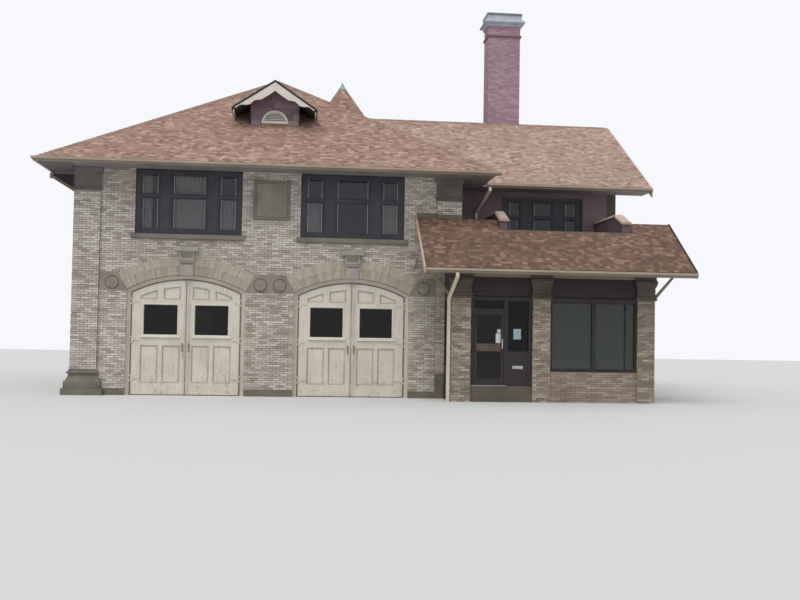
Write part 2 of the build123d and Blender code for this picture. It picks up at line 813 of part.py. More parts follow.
with BuildPart() as front_window_glass:
    for y, spots in ((frame_y0, house_panes), (upper_frame_y, wing_panes)):
        for x0, x1, z0, z1 in spots:
            block(x0, x1, y + glass_set, y + glass_set + glass_t, z0, z1)
save(front_window_glass.part, "front_window_glass")

# Single windows: a frame with one meeting rail, and its panes
def single_spots():
    """Middle point, wall axis and storey of each single window."""
    for z0, z1 in ((sill_top, window_head), (single_low_z, single_low_head)):
        for y in side_window_y:
            yield "side", y, z0, z1
        for x in back_window_x:
            yield "back", x, z0, z1


side_frame_x = -house_half + frame_back
back_frame_y = back_y - frame_back - frame_t
with BuildPart() as single_windows:
    for wall, at, z0, z1 in single_spots():
        if wall == "side":
            block(side_frame_x, side_frame_x + frame_t, at - single_half, at + single_half, z0, z1)
        else:
            block(at - single_half, at + single_half, back_frame_y, back_frame_y + frame_t, z0, z1)
        w = single_half - single_rim
        for lo, hi in panes(z0 + single_rim, (z0 + z1) / 2, z1 - single_rim):
            if wall == "side":
                block(side_frame_x - gap, side_frame_x + frame_t + gap, at - w, at + w, lo, hi, Mode.SUBTRACT)
            else:
                block(at - w, at + w, back_frame_y - gap, back_frame_y + frame_t + gap, lo, hi, Mode.SUBTRACT)
save(single_windows.part, "single_windows")

with BuildPart() as single_window_glass:
    for wall, at, z0, z1 in single_spots():
        w = single_half - single_rim
        for lo, hi in panes(z0 + single_rim, (z0 + z1) / 2, z1 - single_rim):
            if wall == "side":
                block(side_frame_x + glass_set, side_frame_x + glass_set + glass_t, at - w, at + w, lo, hi)
            else:
                pane_y = back_frame_y + frame_t - glass_set
                block(at - w, at + w, pane_y - glass_t, pane_y, lo, hi)
save(single_window_glass.part, "single_window_glass")

# Main roof: a hollow hipped shell, made where a cross profile and a long profile meet
eave_half = house_half + eave_over
eave_front = front_y - eave_over
eave_back = back_y + eave_over
ridge_z = eave_z + pitch * eave_half
hip_grow = 400.0


def hip_solid(lower, grow=0.0):
    """The hipped roof's solid, lowered by the given height and grown at the eaves."""
    a = eave_half + grow
    top = ridge_z - lower
    low = eave_z - pitch * grow - lower
    with BuildPart(mode=Mode.PRIVATE) as hip:
        prism_y([(-a, low - eave_edge), (a, low - eave_edge), (a, low), (0, top), (-a, low)],
                eave_front - grow, eave_back + grow)
        with BuildSketch(Plane(origin=(-a, 0, 0), x_dir=(0, 1, 0), z_dir=(1, 0, 0))) as long_side:
            Polygon((eave_front - grow, low - eave_edge), (eave_back + grow, low - eave_edge), (eave_back + grow, low),
                    (eave_back - eave_half, top), (eave_front + eave_half, top), (eave_front - grow, low), align=None)
        extrude(long_side.sketch, amount=2 * a, mode=Mode.INTERSECT)
    return hip.part


hip_outer = hip_solid(0)
with BuildPart() as main_roof:
    add(hip_outer)
    add(hip_solid(roof_t, hip_grow), mode=Mode.SUBTRACT)
save(main_roof.part, "main_roof")

# Wing roof: a gabled shell that dies into the slope of the main roof
wing_eave_front = wing_upper_y - eave_over
wing_eave_back = wing_back_y + eave_over
wing_ridge_y = (wing_eave_front + wing_eave_back) / 2
wing_ridge_z = eave_z + pitch * (wing_ridge_y - wing_eave_front)
wing_roof_x1 = wing_x1 + wing_roof_over


def gable_profile(lower, grow, foot):
    """Profile of the wing's gable, lowered, grown at the eaves, and closed at the given depth below them."""
    low = eave_z - lower - grow * pitch
    return [(wing_eave_front - grow, low - foot), (wing_eave_front - grow, low), (wing_ridge_y, wing_ridge_z - lower),
            (wing_eave_back + grow, low), (wing_eave_back + grow, low - foot)]


with BuildPart() as wing_roof:
    prism_x(gable_profile(0, 0, eave_edge), wing_roof_start, wing_roof_x1)
    prism_x(gable_profile(roof_t, hip_grow, eave_edge), wing_roof_start - gap, wing_roof_x1 + gap, Mode.SUBTRACT)
    add(hip_outer, mode=Mode.SUBTRACT)
    block(-eave_half, eave_half + gap, eave_front, eave_back, 0, eave_z + cut_over, Mode.SUBTRACT)
save(wing_roof.part, "wing_roof")

# Soffit boards under the eaves
with BuildPart() as eave_soffits:
    block(-eave_half + fascia_t, eave_half - fascia_t, eave_front + fascia_t, eave_back - fascia_t,
          wall_top, wall_top + soffit_t)
    block(-house_half, house_half, front_y, back_y, wall_top - gap, wall_top + soffit_t + gap, Mode.SUBTRACT)
    block(house_half - gap, eave_half, wing_upper_y, wing_back_y, wall_top - gap, wall_top + soffit_t + gap,
          Mode.SUBTRACT)
    block(eave_half, wing_roof_x1, wing_eave_front + fascia_t, wing_upper_y, wall_top, wall_top + soffit_t)
    block(eave_half, wing_roof_x1, wing_back_y, wing_eave_back - fascia_t, wall_top, wall_top + soffit_t)
save(eave_soffits.part, "eave_soffits")

# Eaves boards and square gutters of the main roof and the wing
pent_gutter_z = pent_eave_z - pent_gutter_drop
pent_board_y = pent_eave_y - fascia_t
with BuildPart() as fascias:
    block(-eave_half, eave_half, eave_front, eave_front + fascia_t, wall_top, eave_z - eave_edge)
    block(-eave_half, eave_half, eave_back - fascia_t, eave_back, wall_top, eave_z - eave_edge)
    block(-eave_half, -eave_half + fascia_t, eave_front + fascia_t, eave_back - fascia_t, wall_top, eave_z - eave_edge)
    block(eave_half - fascia_t, eave_half, eave_front + fascia_t, wing_eave_front, wall_top, eave_z - eave_edge)
    block(eave_half - fascia_t, eave_half, wing_eave_back, eave_back - fascia_t, wall_top, eave_z - eave_edge)
    block(eave_half, wing_roof_x1, wing_eave_front, wing_eave_front + fascia_t, wall_top, eave_z - eave_edge)
    block(eave_half, wing_roof_x1, wing_eave_back - fascia_t, wing_eave_back, wall_top, eave_z - eave_edge)
    block(pent_x0, pent_x1, pent_board_y, pent_eave_y, pent_eave_z - pent_drop - pent_board_hang, pent_gutter_z)
save(fascias.part, "fascias")

gutter_z1 = eave_z - gutter_drop
gutter_z0 = gutter_z1 - gutter_h


def gutter(x0, x1, y0, y1, z1):
    """A square gutter, open at the top."""
    block(x0, x1, y0, y1, z1 - gutter_h, z1)
    block(x0 + gutter_wall, x1 - gutter_wall, y0 + gutter_wall, y1 - gutter_wall, z1 - gutter_h + gutter_wall,
          z1 + gap, Mode.SUBTRACT)


gutter_end = eave_half + gutter_w
wing_gutter_x = gutter_end + gutter_end_gap
with BuildPart() as gutters:
    gutter(-gutter_end, gutter_end, eave_front - gutter_w, eave_front, gutter_z1)
    gutter(-gutter_end, gutter_end, eave_back, eave_back + gutter_w, gutter_z1)
    gutter(-gutter_end, -eave_half, eave_front + gap, eave_back - gap, gutter_z1)
    gutter(wing_gutter_x, wing_roof_x1, wing_eave_front - gutter_w, wing_eave_front, gutter_z1)
    gutter(wing_gutter_x, wing_roof_x1, wing_eave_back, wing_eave_back + gutter_w, gutter_z1)
    gutter(pent_x0, pent_x1, pent_board_y - gutter_w, pent_board_y, pent_gutter_z)
save(gutters.part, "gutters")

# Dormer on the front slope: boarded walls, a gabled roof and a half-round vent
dormer_slope_z = eave_z + pitch * (dormer_y - eave_front)
dormer_back_y = eave_front + (dormer_ridge_z - eave_z) / pitch
dormer_roof_low = dormer_ridge_z - dormer_pitch * dormer_eave_half
dormer_wall_ridge = dormer_ridge_z - dormer_ridge_t
dormer_wall_top = dormer_wall_ridge - dormer_pitch * dormer_half
dormer_inside = dormer_half - dormer_wall_t
with BuildPart() as dormer_walls:
    prism_y([(-dormer_half, dormer_slope_z - dormer_seat), (dormer_half, dormer_slope_z - dormer_seat),
             (dormer_half, dormer_wall_top), (0, dormer_wall_ridge), (-dormer_half, dormer_wall_top)],
            dormer_y, dormer_back_y)
    prism_y([(-dormer_inside, 0), (dormer_inside, 0), (dormer_inside, dormer_wall_top),
             (0, dormer_wall_ridge - dormer_wall_t), (-dormer_inside, dormer_wall_top)],
            dormer_y + dormer_wall_t, dormer_back_y + gap, Mode.SUBTRACT)
    add(hip_outer, mode=Mode.SUBTRACT)
save(dormer_walls.part, "dormer_walls")

with BuildPart() as dormer_roof:
    prism_y([(-dormer_eave_half, dormer_roof_low), (0, dormer_ridge_z), (dormer_eave_half, dormer_roof_low),
             (dormer_eave_half, dormer_roof_low - dormer_roof_t), (0, dormer_wall_ridge),
             (-dormer_eave_half, dormer_roof_low - dormer_roof_t)], dormer_front_y, dormer_back_y)
    add(hip_outer, mode=Mode.SUBTRACT)
save(dormer_roof.part, "dormer_roof")

vent_r_mid = vent_r - vent_rim / 2
with BuildPart() as dormer_vent:
    with BuildSketch(Plane(origin=(0, dormer_y, vent_z), x_dir=(1, 0, 0), z_dir=(0, -1, 0))) as rim:
        Circle(vent_r)
        Circle(vent_r - vent_rim, mode=Mode.SUBTRACT)
        with Locations((0, -vent_r / 2)):
            Rectangle(2 * vent_r + cut_over, vent_r, mode=Mode.SUBTRACT)
        with Locations((0, vent_rim / 2)):
            Rectangle(2 * (vent_r - vent_back_t), vent_rim)
    extrude(rim.sketch, amount=vent_rim_t)
    with BuildSketch(Plane(origin=(0, dormer_y, vent_z), x_dir=(1, 0, 0), z_dir=(0, -1, 0))) as back:
        Circle(vent_r_mid)
        with Locations((0, (vent_rim - vent_r) / 2)):
            Rectangle(2 * vent_r + cut_over, vent_r, mode=Mode.SUBTRACT)
    extrude(back.sketch, amount=vent_back_t)
    for i in range(vent_slats):
        z = vent_z + vent_rim + slat_lift + i * slat_pitch
        half = math.sqrt(vent_r_mid ** 2 - (z + slat_fall + slat_t - vent_z) ** 2)
        y = dormer_y - vent_back_t
        prism_x([(y, z + slat_fall), (y, z + slat_fall + slat_t), (y - slat_out, z + slat_t), (y - slat_out, z)],
                -half, half)
save(dormer_vent.part, "dormer_vent")

# Hose tower behind the ridge: brick walls, a steep roof and a metal cap
tower_roof_half = tower_half + tower_over
tower_rise = (tower_apex_z - tower_eave_z) / tower_roof_half
tower_wall_top = tower_apex_z - tower_roof_t - tower_rise * tower_half - gap
tower_inside = tower_half - tower_wall_t
with BuildPart() as tower_walls:
    block(tower_x - tower_half, tower_x + tower_half, tower_y - tower_half, tower_y + tower_half, eave_z,
          tower_wall_top)
    block(tower_x - tower_inside, tower_x + tower_inside, tower_y - tower_inside, tower_y + tower_inside,
          eave_z - gap, tower_wall_top + gap, Mode.SUBTRACT)
    add(hip_outer, mode=Mode.SUBTRACT)
save(tower_walls.part, "tower_walls")


def pyramid(half, z0, z1):
    """A square pyramid's side profile, met with itself across the other axis."""
    with BuildPart(mode=Mode.PRIVATE) as solid:
        prism_y([(tower_x - half, z0), (tower_x + half, z0), (tower_x, z1)], tower_y - half, tower_y + half)
        with BuildSketch(Plane(origin=(tower_x - half, 0, 0), x_dir=(0, 1, 0), z_dir=(1, 0, 0))) as other:
            Polygon((tower_y - half, z0), (tower_y + half, z0), (tower_y, z1), align=None)
        extrude(other.sketch, amount=2 * half, mode=Mode.INTERSECT)
    return solid.part


tower_cap_z = tower_apex_z - tower_cap_h
with BuildPart() as tower_roof:
    add(pyramid(tower_roof_half, tower_eave_z, tower_apex_z))
    add(pyramid(tower_roof_half + tower_cut_over, tower_eave_z - tower_cut_over * tower_rise - tower_roof_t,
                tower_apex_z - tower_roof_t), mode=Mode.SUBTRACT)
    block(tower_x - tower_half, tower_x + tower_half, tower_y - tower_half, tower_y + tower_half, tower_cap_z,
          tower_apex_z + gap, Mode.SUBTRACT)
save(tower_roof.part, "tower_roof")

tower_cap_half = tower_cap_h / tower_rise + tower_cap_over
with BuildPart() as tower_cap:
    block(tower_x - tower_cap_half, tower_x + tower_cap_half, tower_y - tower_cap_half, tower_y + tower_cap_half,
          tower_cap_z, tower_cap_z + tower_cap_rim_h)
    add(pyramid(tower_cap_half, tower_cap_z + tower_cap_rim_h, tower_apex_z + tower_cap_peak))
save(tower_cap.part, "tower_cap")

# Chimney behind the wing's ridge, with a string course and a moulded cap
chimney_x = (house_half + chimney_in, house_half + chimney_in + chimney_w)
chimney_y = (wing_ridge_y - chimney_set, wing_ridge_y - chimney_set + chimney_depth)
chimney_string_z = chimney_top - chimney_string_drop - chimney_string_h


def chimney_ring(grow, z0, h):
    """One level of the chimney, standing out all round; gives the height of its top."""
    block(chimney_x[0] - grow, chimney_x[1] + grow, chimney_y[0] - grow, chimney_y[1] + grow, z0, z0 + h)
    return z0 + h


with BuildPart() as chimney:
    chimney_ring(0, eave_z, chimney_top - eave_z)
    chimney_ring(chimney_string_grow, chimney_string_z, chimney_string_h)
    with BuildPart(mode=Mode.PRIVATE) as wing_fill:
        prism_x(gable_profile(0, 0, eave_edge), wing_roof_start, wing_roof_x1)
    add(wing_fill.part, mode=Mode.SUBTRACT)
save(chimney.part, "chimney")

with BuildPart() as chimney_cap:
    z = chimney_ring(chimney_neck_grow, chimney_top, chimney_neck_h)
    z = chimney_ring(chimney_cove_grow, z, chimney_cove_h)
    z = chimney_ring(chimney_slab_grow, z, chimney_slab_h)
    z = chimney_ring(chimney_slope_grow, z, chimney_slope_h)
    z = chimney_ring(chimney_hood_grow, z, chimney_hood_h)
    block(chimney_x[0] + chimney_mouth_in, chimney_x[1] - chimney_mouth_in, chimney_y[0] + chimney_mouth_in,
          chimney_y[1] - chimney_mouth_in, z - chimney_mouth_h, z + gap, Mode.SUBTRACT)
save(chimney_cap.part, "chimney_cap")

# Wing: floor, walls with their piers, and the two end walls cut to the roof slopes
wing_in0 = wing_x0 + wing_wall_t
wing_in1 = wing_x1 - wing_wall_t
wing_front_in = wing_front_y + wing_wall_t
pier_face = front_y - pier_proud
with BuildPart() as wing_floor:
    block(wing_in0, wing_in1, wing_front_in, pier_face, wing_floor_z - wing_floor_t, wing_floor_z)
    block(pier_out, wing_in1, pier_face, wing_back_y - wing_wall_t, wing_floor_z - wing_floor_t, wing_floor_z)
save(wing_floor.part, "wing_floor")

entry_x = (wing_x0 + wing_pilaster_w, wing_x0 + wing_pilaster_w + entry_w)
shop_x = (entry_x[1] + wing_mid_w, wing_x1 - wing_end_w)
front_recess = wing_front_y + wing_pilaster_proud


def course(x0, x1, grow, z0, z1):
    """One level at the head of a brick pier of the wing, standing out on three sides."""
    block(x0 - grow, x1 + grow, wing_front_y - grow, front_recess, z0, z1)


course_block_z = course_neck_z + course_neck_h
course_end_z = course_top_z + course_top_h
with BuildPart() as wing_front_wall:
    for x0, x1 in ((wing_x0, entry_x[0]), (entry_x[1], shop_x[0]), (shop_x[1], wing_x1)):
        block(x0, x1, wing_front_y, wing_front_in, 0, header_z1)
        course(x0, x1, course_neck_grow, course_neck_z, course_block_z)
        course(x0, x1, course_block_grow, course_block_z, course_top_z)
        course(x0, x1, course_neck_grow, course_top_z, course_top_z + course_top_h / 2)
        course(x0, x1, course_top_grow, course_top_z + course_top_h / 2, course_end_z)
        course(x0, x1, course_neck_grow, course_end_z, header_z1)
    block(entry_x[0], entry_x[1], front_recess, wing_front_in, 0, wing_floor_z)
    block(shop_x[0], shop_x[1], front_recess, wing_front_in, 0, low_wall_top)
save(wing_front_wall.part, "wing_front_wall")

header_y = (front_recess + header_set, wing_front_in - wing_pilaster_proud)
with BuildPart() as wing_header:
    for x0, x1 in (entry_x, shop_x):
        block(x0, x1, *header_y, header_z0, header_z1)
save(wing_header.part, "wing_header")


def pent_under(y):
    """Height of the pent roof's underside."""
    return pent_eave_z + pent_slope * (y - pent_eave_y) - pent_drop


side_glass_y = (wing_front_in + side_glass_in, pier_face - side_glass_in)
with BuildPart() as wing_side_wall:
    prism_x([(wing_front_in, 0), (pier_face, 0), (pier_face, pent_under(pier_face) - gap),
             (wing_front_in, pent_under(wing_front_in) - gap)], wing_x0, wing_x0 + side_t)
    block(wing_x0 - gap, wing_x0 + side_t + gap, *side_glass_y, side_glass_z0, side_glass_z1, Mode.SUBTRACT)
save(wing_side_wall.part, "wing_side_wall")

deck_front = front_y - deck_reach
parapet_z = pent_under(pent_top_y) - pent_wall_clear
parapet_front_y = pent_top_y - pent_wall_clear / pent_slope
roof_under_wall = eave_z - roof_t + pitch * eave_over - gap
with BuildPart() as wing_right_wall:
    prism_x([(wing_front_in, 0), (wing_back_y, 0), (wing_back_y, roof_under_wall),
             (wing_ridge_y, wing_ridge_z - roof_t - gap), (wing_upper_y, roof_under_wall), (wing_upper_y, parapet_z),
             (parapet_front_y, parapet_z), (wing_front_in, pent_under(wing_front_in) - gap)], wing_in1, wing_x1)
save(wing_right_wall.part, "wing_right_wall")

with BuildPart() as wing_back_wall:
    block(house_half, wing_in1, wing_back_y - wing_wall_t, wing_back_y, 0, wall_top)
save(wing_back_wall.part, "wing_back_wall")

# Upper front wall of the wing, set back behind the deck
with BuildPart() as wing_upper_wall:
    block(house_half, wing_in1, wing_upper_y, wing_upper_y + wing_wall_t, upper_floor_z - upper_floor_t, wall_top)
    block(upper_win_x - upper_win_half, upper_win_x + upper_win_half, wing_upper_y - gap,
          wing_upper_y + wing_wall_t + gap, upper_win_z0, upper_win_z1, Mode.SUBTRACT)
save(wing_upper_wall.part, "wing_upper_wall")

with BuildPart() as wing_deck:
    block(pier_out, wing_in1, deck_front, wing_upper_y, deck_z - deck_t, deck_z)
    block(house_half, pier_out, front_y + pier_w, wing_upper_y, deck_z - deck_t, deck_z)
save(wing_deck.part, "wing_deck")

# Pent roof over the shop front, with a notch in front of the upper window
with BuildPart() as pent_roof:
    prism_x([(pent_eave_y, pent_eave_z), (pent_top_y, pent_top_z), (pent_top_y, pent_top_z - pent_drop),
             (pent_eave_y, pent_eave_z - pent_drop)], pent_x0, pent_x1)
    block(well_x0 - cheek_w, well_x1 + cheek_w, front_y - well_cut, front_y, well_front_z, pent_top_z + cut_over,
          Mode.SUBTRACT)
save(pent_roof.part, "pent_roof")

well_front_y = pent_top_y - (pent_top_z - well_front_z) / pent_slope
cheek_bend_y = front_y + cheek_bend
cheek_nose_y = well_front_y + coping_nose
with BuildPart() as pent_cheeks:
    for x0 in (well_x0 - cheek_w, well_x1):
        prism_x([(deck_front, deck_z), (wing_upper_y, deck_z), (wing_upper_y, cheek_high), (cheek_bend_y, cheek_high),
                 (cheek_nose_y, cheek_low), (cheek_nose_y, well_front_z + gap), (deck_front, well_front_z + gap)],
                x0, x0 + cheek_w)
save(pent_cheeks.part, "pent_cheeks")

# Beam over the shop front and the brackets that carry the ends of the pent roof
beam_y = wing_front_y + wing_pilaster_proud
bracket_y = wing_front_y + bracket_set
brace_y = bracket_y + (bracket_w - brace_t) / 2
with BuildPart() as pent_brackets:
    block(wing_x0, wing_x1, beam_y, wing_front_in - wing_pilaster_proud, header_z1, pent_under(beam_y) - gap)
    for x_wall, out in ((wing_x0, -1), (wing_x1, 1)):
        xs = sorted((x_wall, x_wall + out * bracket_reach))
        block(xs[0], xs[1], bracket_y, bracket_y + bracket_w, header_z1, header_z1 + bracket_w)
        prism_y([(x_wall, brace_foot_z), (x_wall, brace_foot_z + brace_foot_h), (x_wall + out * brace_reach, header_z1),
                 (x_wall + out * (brace_reach + brace_t), header_z1)][::out], brace_y, brace_y + brace_t)
save(pent_brackets.part, "pent_brackets")

# Shop window and entrance frames
frame_front = front_recess + header_set
frame_ys = (frame_front - gap, frame_front + frame_depth + gap)
door_x = (entry_x[0] + door_in, entry_x[0] + door_in + door_w)
door_z1 = door_z0 + door_h
door_hole_x = (door_x[0] - door_gap, door_x[1] + door_gap)
side_light_x = (door_x[1] + side_light_in, entry_x[1] - side_light_out)
transom_z1 = header_z0 - transom_rim
mullion_x = (shop_x[0] + mullion_in, shop_x[0] + mullion_in + mullion_w)
shop_lights = ((shop_x[0] + shop_rim, mullion_x[0]), (mullion_x[1], shop_x[1] - shop_rim))
with BuildPart() as shop_frames:
    block(*entry_x, frame_front, frame_front + frame_depth, wing_floor_z, header_z0)
    block(*door_hole_x, *frame_ys, wing_floor_z + threshold_h, door_z1 + door_gap, Mode.SUBTRACT)
    block(*door_hole_x, *frame_ys, transom_z, transom_z1, Mode.SUBTRACT)
    block(*side_light_x, *frame_ys, mid_rail_z, transom_z1, Mode.SUBTRACT)
    block(*shop_x, frame_front, frame_front + frame_depth, low_wall_top, header_z0)
    for x0, x1 in shop_lights:
        block(x0, x1, *frame_ys, low_wall_top + shop_rim, header_z0 - shop_rim, Mode.SUBTRACT)
    for z in entry_hinges:
        fixed_hinge(door_x[0], frame_front, -1, z)
save(shop_frames.part, "shop_frames")

glass_y = frame_front + shop_glass_set
with BuildPart() as wing_glass:
    block(*door_hole_x, glass_y, glass_y + glass_t, transom_z, transom_z1)
    block(*side_light_x, glass_y, glass_y + glass_t, mid_rail_z, transom_z1)
    for x0, x1 in shop_lights:
        block(x0, x1, glass_y, glass_y + glass_t, low_wall_top + shop_rim, header_z0 - shop_rim)
    block(wing_x0 + side_glass_set, wing_x0 + side_glass_set + glass_t, *side_glass_y, side_glass_z0, side_glass_z1)
save(wing_glass.part, "wing_glass")

door_glass_x = (door_x[0] + door_rim, door_x[1] - door_rim)
door_panes = ((door_z0 + door_low_rim, mid_rail_z), (mid_rail_z + mid_rail_h, door_z1 - door_top_rim))
with BuildPart() as entry_door:
    block(*door_x, frame_front, frame_front + door_leaf_t, door_z0, door_z1)
    for z0, z1 in door_panes:
        block(*door_glass_x, frame_front - gap, frame_front + door_leaf_t + gap, z0, z1, Mode.SUBTRACT)
    for z in entry_hinges:
        hinge_strap(door_x[0], frame_front, 1, z - hinge_h / 2, z + hinge_h / 2)
    pull_handle(door_x[1] - entry_pull_in, frame_front, entry_pull_z, entry_pull_w, entry_pull_h)
save(entry_door.part, "entry_door")

with BuildPart() as entry_door_glass:
    for z0, z1 in door_panes:
        block(*door_glass_x, frame_front + door_glass_set, frame_front + door_glass_set + glass_t, z0, z1)
save(entry_door_glass.part, "entry_door_glass")


def pipe(*points):
    """A square pipe along straight runs."""
    with BuildLine() as path:
        Polyline(*points)
    start = Vector(*points[0])
    first = Vector(*points[1]) - start
    with BuildSketch(Plane(origin=start, x_dir=(1, 0, 0), z_dir=first)) as section:
        Rectangle(pipe_w, pipe_t)
    sweep(section.sketch, path=path.line, transition=Transition.RIGHT)


def swan_neck(x, y, z, wall_x, wall_y, foot_z):
    """A downspout from under a gutter, over to a wall and down along it."""
    run = math.hypot(wall_x - x, wall_y - y)
    fall = pipe_neck + run * pipe_neck_slope
    pipe((x, y, z), (x, y, z - pipe_neck), (wall_x, wall_y, z - fall), (wall_x, wall_y, foot_z))


# Square downspouts: two at the left gutter, one at the wing's gutter and one at the pent roof's gutter
with BuildPart() as downspouts:
    left_x = -pier_out - pipe_w / 2 - pipe_clear
    for y in (front_y + left_pipe_in, back_y - left_pipe_in):
        swan_neck(-eave_half - gutter_w / 2, y, gutter_z0, left_x, y, 0.0)
    wing_pipe_x = wing_gutter_x + pipe_w
    swan_neck(wing_pipe_x, wing_eave_front - gutter_w / 2, gutter_z0, wing_pipe_x - wing_pipe_back,
              wing_upper_y - pipe_t / 2 - pipe_clear, deck_z + pent_board_hang)
    pent_pipe_x = wing_x0 - pipe_w / 2 - pent_pipe_clear
    swan_neck(pent_pipe_x + pipe_w, pent_board_y - gutter_w / 2, pent_gutter_z - gutter_h, pent_pipe_x,
              wing_front_y - pipe_t / 2 - pipe_clear, 0.0)
save(downspouts.part, "downspouts")


def coping_profile():
    """Profile of a sloping coping with an even depth, level at the back."""
    nose_y = well_front_y - coping_nose
    rise = (cheek_high - cheek_low) / (cheek_bend_y - cheek_nose_y)
    nose_z = cheek_low - 2 * coping_nose * rise
    under = [(wing_upper_y, cheek_high), (cheek_bend_y, cheek_high), (nose_y, nose_z)]
    return under + [(y, z + coping_t) for y, z in under[::-1]]


def barge_profile():
    """Outline of the bargeboard: straight above, cut in shallow hollows below."""
    ridge = dormer_ridge_z - barge_lift
    half = [(0, barge_mid_drop), (barge_shoulder_x, barge_shoulder_drop), (barge_hip_x, barge_hip_drop),
            (barge_half, barge_end_drop)]
    below = [(x, ridge - dormer_pitch * x - drop) for x, drop in half]
    with BuildSketch(Plane(origin=(0, dormer_front_y, 0), x_dir=(1, 0, 0), z_dir=(0, -1, 0))) as outline:
        with BuildLine():
            end = (barge_half, ridge - dormer_pitch * barge_half)
            Polyline((-end[0], end[1]), (0, ridge), end)
            for sign in (-1, 1):
                Line((sign * end[0], end[1]), (sign * below[-1][0], below[-1][1]))
                for (xa, za), (xb, zb) in zip(below, below[1:]):
                    middle = (sign * (xa + xb) / 2, (za + zb) / 2 + barge_scallop)
                    ThreePointArc((sign * xa, za), middle, (sign * xb, zb))
        make_face()
    return outline.sketch


# Painted trim: dormer bargeboard, rake boards of the pent roof and the wing gable, and copings of the cheeks
with BuildPart() as trim_boards:
    extrude(barge_profile(), amount=barge_t)
    for x in (pent_x0 - rake_t, pent_x1):
        prism_x([(pent_eave_y, pent_eave_z + rake_lift), (pent_top_y, pent_top_z + rake_lift),
                 (pent_top_y, pent_top_z - pent_drop - rake_hang), (pent_eave_y, pent_eave_z - pent_drop - rake_hang)],
                x, x + rake_t)
    prism_x([(wing_eave_front, eave_z + gable_lift), (wing_ridge_y, wing_ridge_z + gable_lift),
             (wing_eave_back, eave_z + gable_lift), (wing_eave_back, eave_z - eave_edge - gable_board_h),
             (wing_ridge_y, wing_ridge_z + gable_lift - gable_peak_h),
             (wing_eave_front, eave_z - eave_edge - gable_board_h)], wing_roof_x1, wing_roof_x1 + rake_t)
    for x0 in (well_x0 - cheek_w, well_x1):
        prism_x(coping_profile(), x0 - coping_side, x0 + cheek_w + coping_side)
save(trim_boards.part, "trim_boards")
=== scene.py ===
import bpy
import bmesh
import math
import random
import numpy as np
from mathutils import Matrix, Vector


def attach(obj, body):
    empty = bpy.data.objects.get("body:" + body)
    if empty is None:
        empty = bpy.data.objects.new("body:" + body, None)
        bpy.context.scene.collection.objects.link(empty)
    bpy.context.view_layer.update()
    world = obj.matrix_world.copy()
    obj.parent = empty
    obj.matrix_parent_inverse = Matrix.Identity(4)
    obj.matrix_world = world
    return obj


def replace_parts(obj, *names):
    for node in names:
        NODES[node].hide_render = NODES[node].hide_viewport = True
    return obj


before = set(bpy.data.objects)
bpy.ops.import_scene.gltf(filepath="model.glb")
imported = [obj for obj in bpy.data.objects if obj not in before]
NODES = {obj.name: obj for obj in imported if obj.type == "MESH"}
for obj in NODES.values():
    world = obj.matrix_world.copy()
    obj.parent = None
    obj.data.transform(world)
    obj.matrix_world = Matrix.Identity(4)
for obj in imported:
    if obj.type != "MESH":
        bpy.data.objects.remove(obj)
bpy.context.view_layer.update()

# The building's own sizes, in metres, as its solids have them
COURSE = 0.0677
BRICK_LEN = 0.2134
JOINT = 0.010
FIRST_JOINT = 1.147
HOUSE = 5.63
FRONT = -7.25
BACK = 7.25
WALL_TOP = 6.62
PIER_W = 0.75
PIER_PROUD = 0.06
PIER_OUT = HOUSE + PIER_PROUD
PIER_IN = PIER_OUT - PIER_W
SHAFT_Z = (0.745, 5.921)
DOOR_X = 2.426
DOOR_HALF = 1.712
DOOR_CROWN = 3.528
DOOR_RISE = 0.445
DOOR_R = (DOOR_HALF ** 2 + DOOR_RISE ** 2) / (2 * DOOR_RISE)
DOOR_ARC_Z = DOOR_CROWN - DOOR_R
SPRING = DOOR_CROWN - DOOR_RISE
RING = 0.54
CASING = 0.15
REVEAL = 0.10
WINDOW_X = 2.41
WINDOW_HALF = 1.552
SILL = 4.72
SINGLE_HALF = 0.56
SINGLE_Z = ((4.72, 6.58), (1.15, 2.90))
SIDE_Y = (-4.3, 0.0, 4.3)
BACK_X = (-3.3, 0.0, 3.3)
PITCH = 0.61
EAVE = 0.94
EAVE_X = HOUSE + EAVE
EAVE_Y = 7.25 + EAVE
EAVE_Z = 6.74
RIDGE_Z = EAVE_Z + PITCH * EAVE_X
WING_X1 = 11.21
WING_FRONT = -8.70
WING_UPPER = -4.91
WING_BACK = 2.81
WING_EAVE0 = WING_UPPER - EAVE
WING_EAVE1 = WING_BACK + EAVE
WING_RIDGE_Y = (WING_EAVE0 + WING_EAVE1) / 2
WING_RIDGE_Z = EAVE_Z + PITCH * (WING_RIDGE_Y - WING_EAVE0)
WING_ROOF_X1 = WING_X1 + 0.90
WING_PIERS = ((5.21, 5.77), (7.59, 8.10), (10.70, 11.21))
WING_BAYS = ((5.77, 7.59), (8.10, 10.70))
WING_SHAFT = 2.997
FRAME_Y = -8.62
PENT_X = (4.33, 12.11)
PENT_LOW = (-9.60, 3.78)
PENT_HIGH = (-7.325, 5.40)
PENT_SLOPE = (PENT_HIGH[1] - PENT_LOW[1]) / (PENT_HIGH[0] - PENT_LOW[0])
WELL_X = (7.0, 10.5)
WELL_Z = 5.04
CHEEK = 0.24
TOWER = (2.55, 5.25)
TOWER_HALF = 1.2
TOWER_EAVE = 9.9
TOWER_APEX = 12.4
CAP_Z = 12.16
CHIMNEY_X = (7.605, 8.77)
CHIMNEY_Y = (-1.07, -0.25)
CHIMNEY_TOP = 13.26
DORMER_HALF = 0.735
DORMER_Y = -5.5
DORMER_RIDGE = 9.70
DORMER_PITCH = 0.67
DORMER_EAVE = 1.31
DORMER_FRONT = -5.97
DORMER_FOOT = EAVE_Z + PITCH * (DORMER_Y + EAVE_Y)
DORMER_WALL_RIDGE = DORMER_RIDGE - 0.1125
VENT_Z = 8.44
UP = (0, 0, 1)
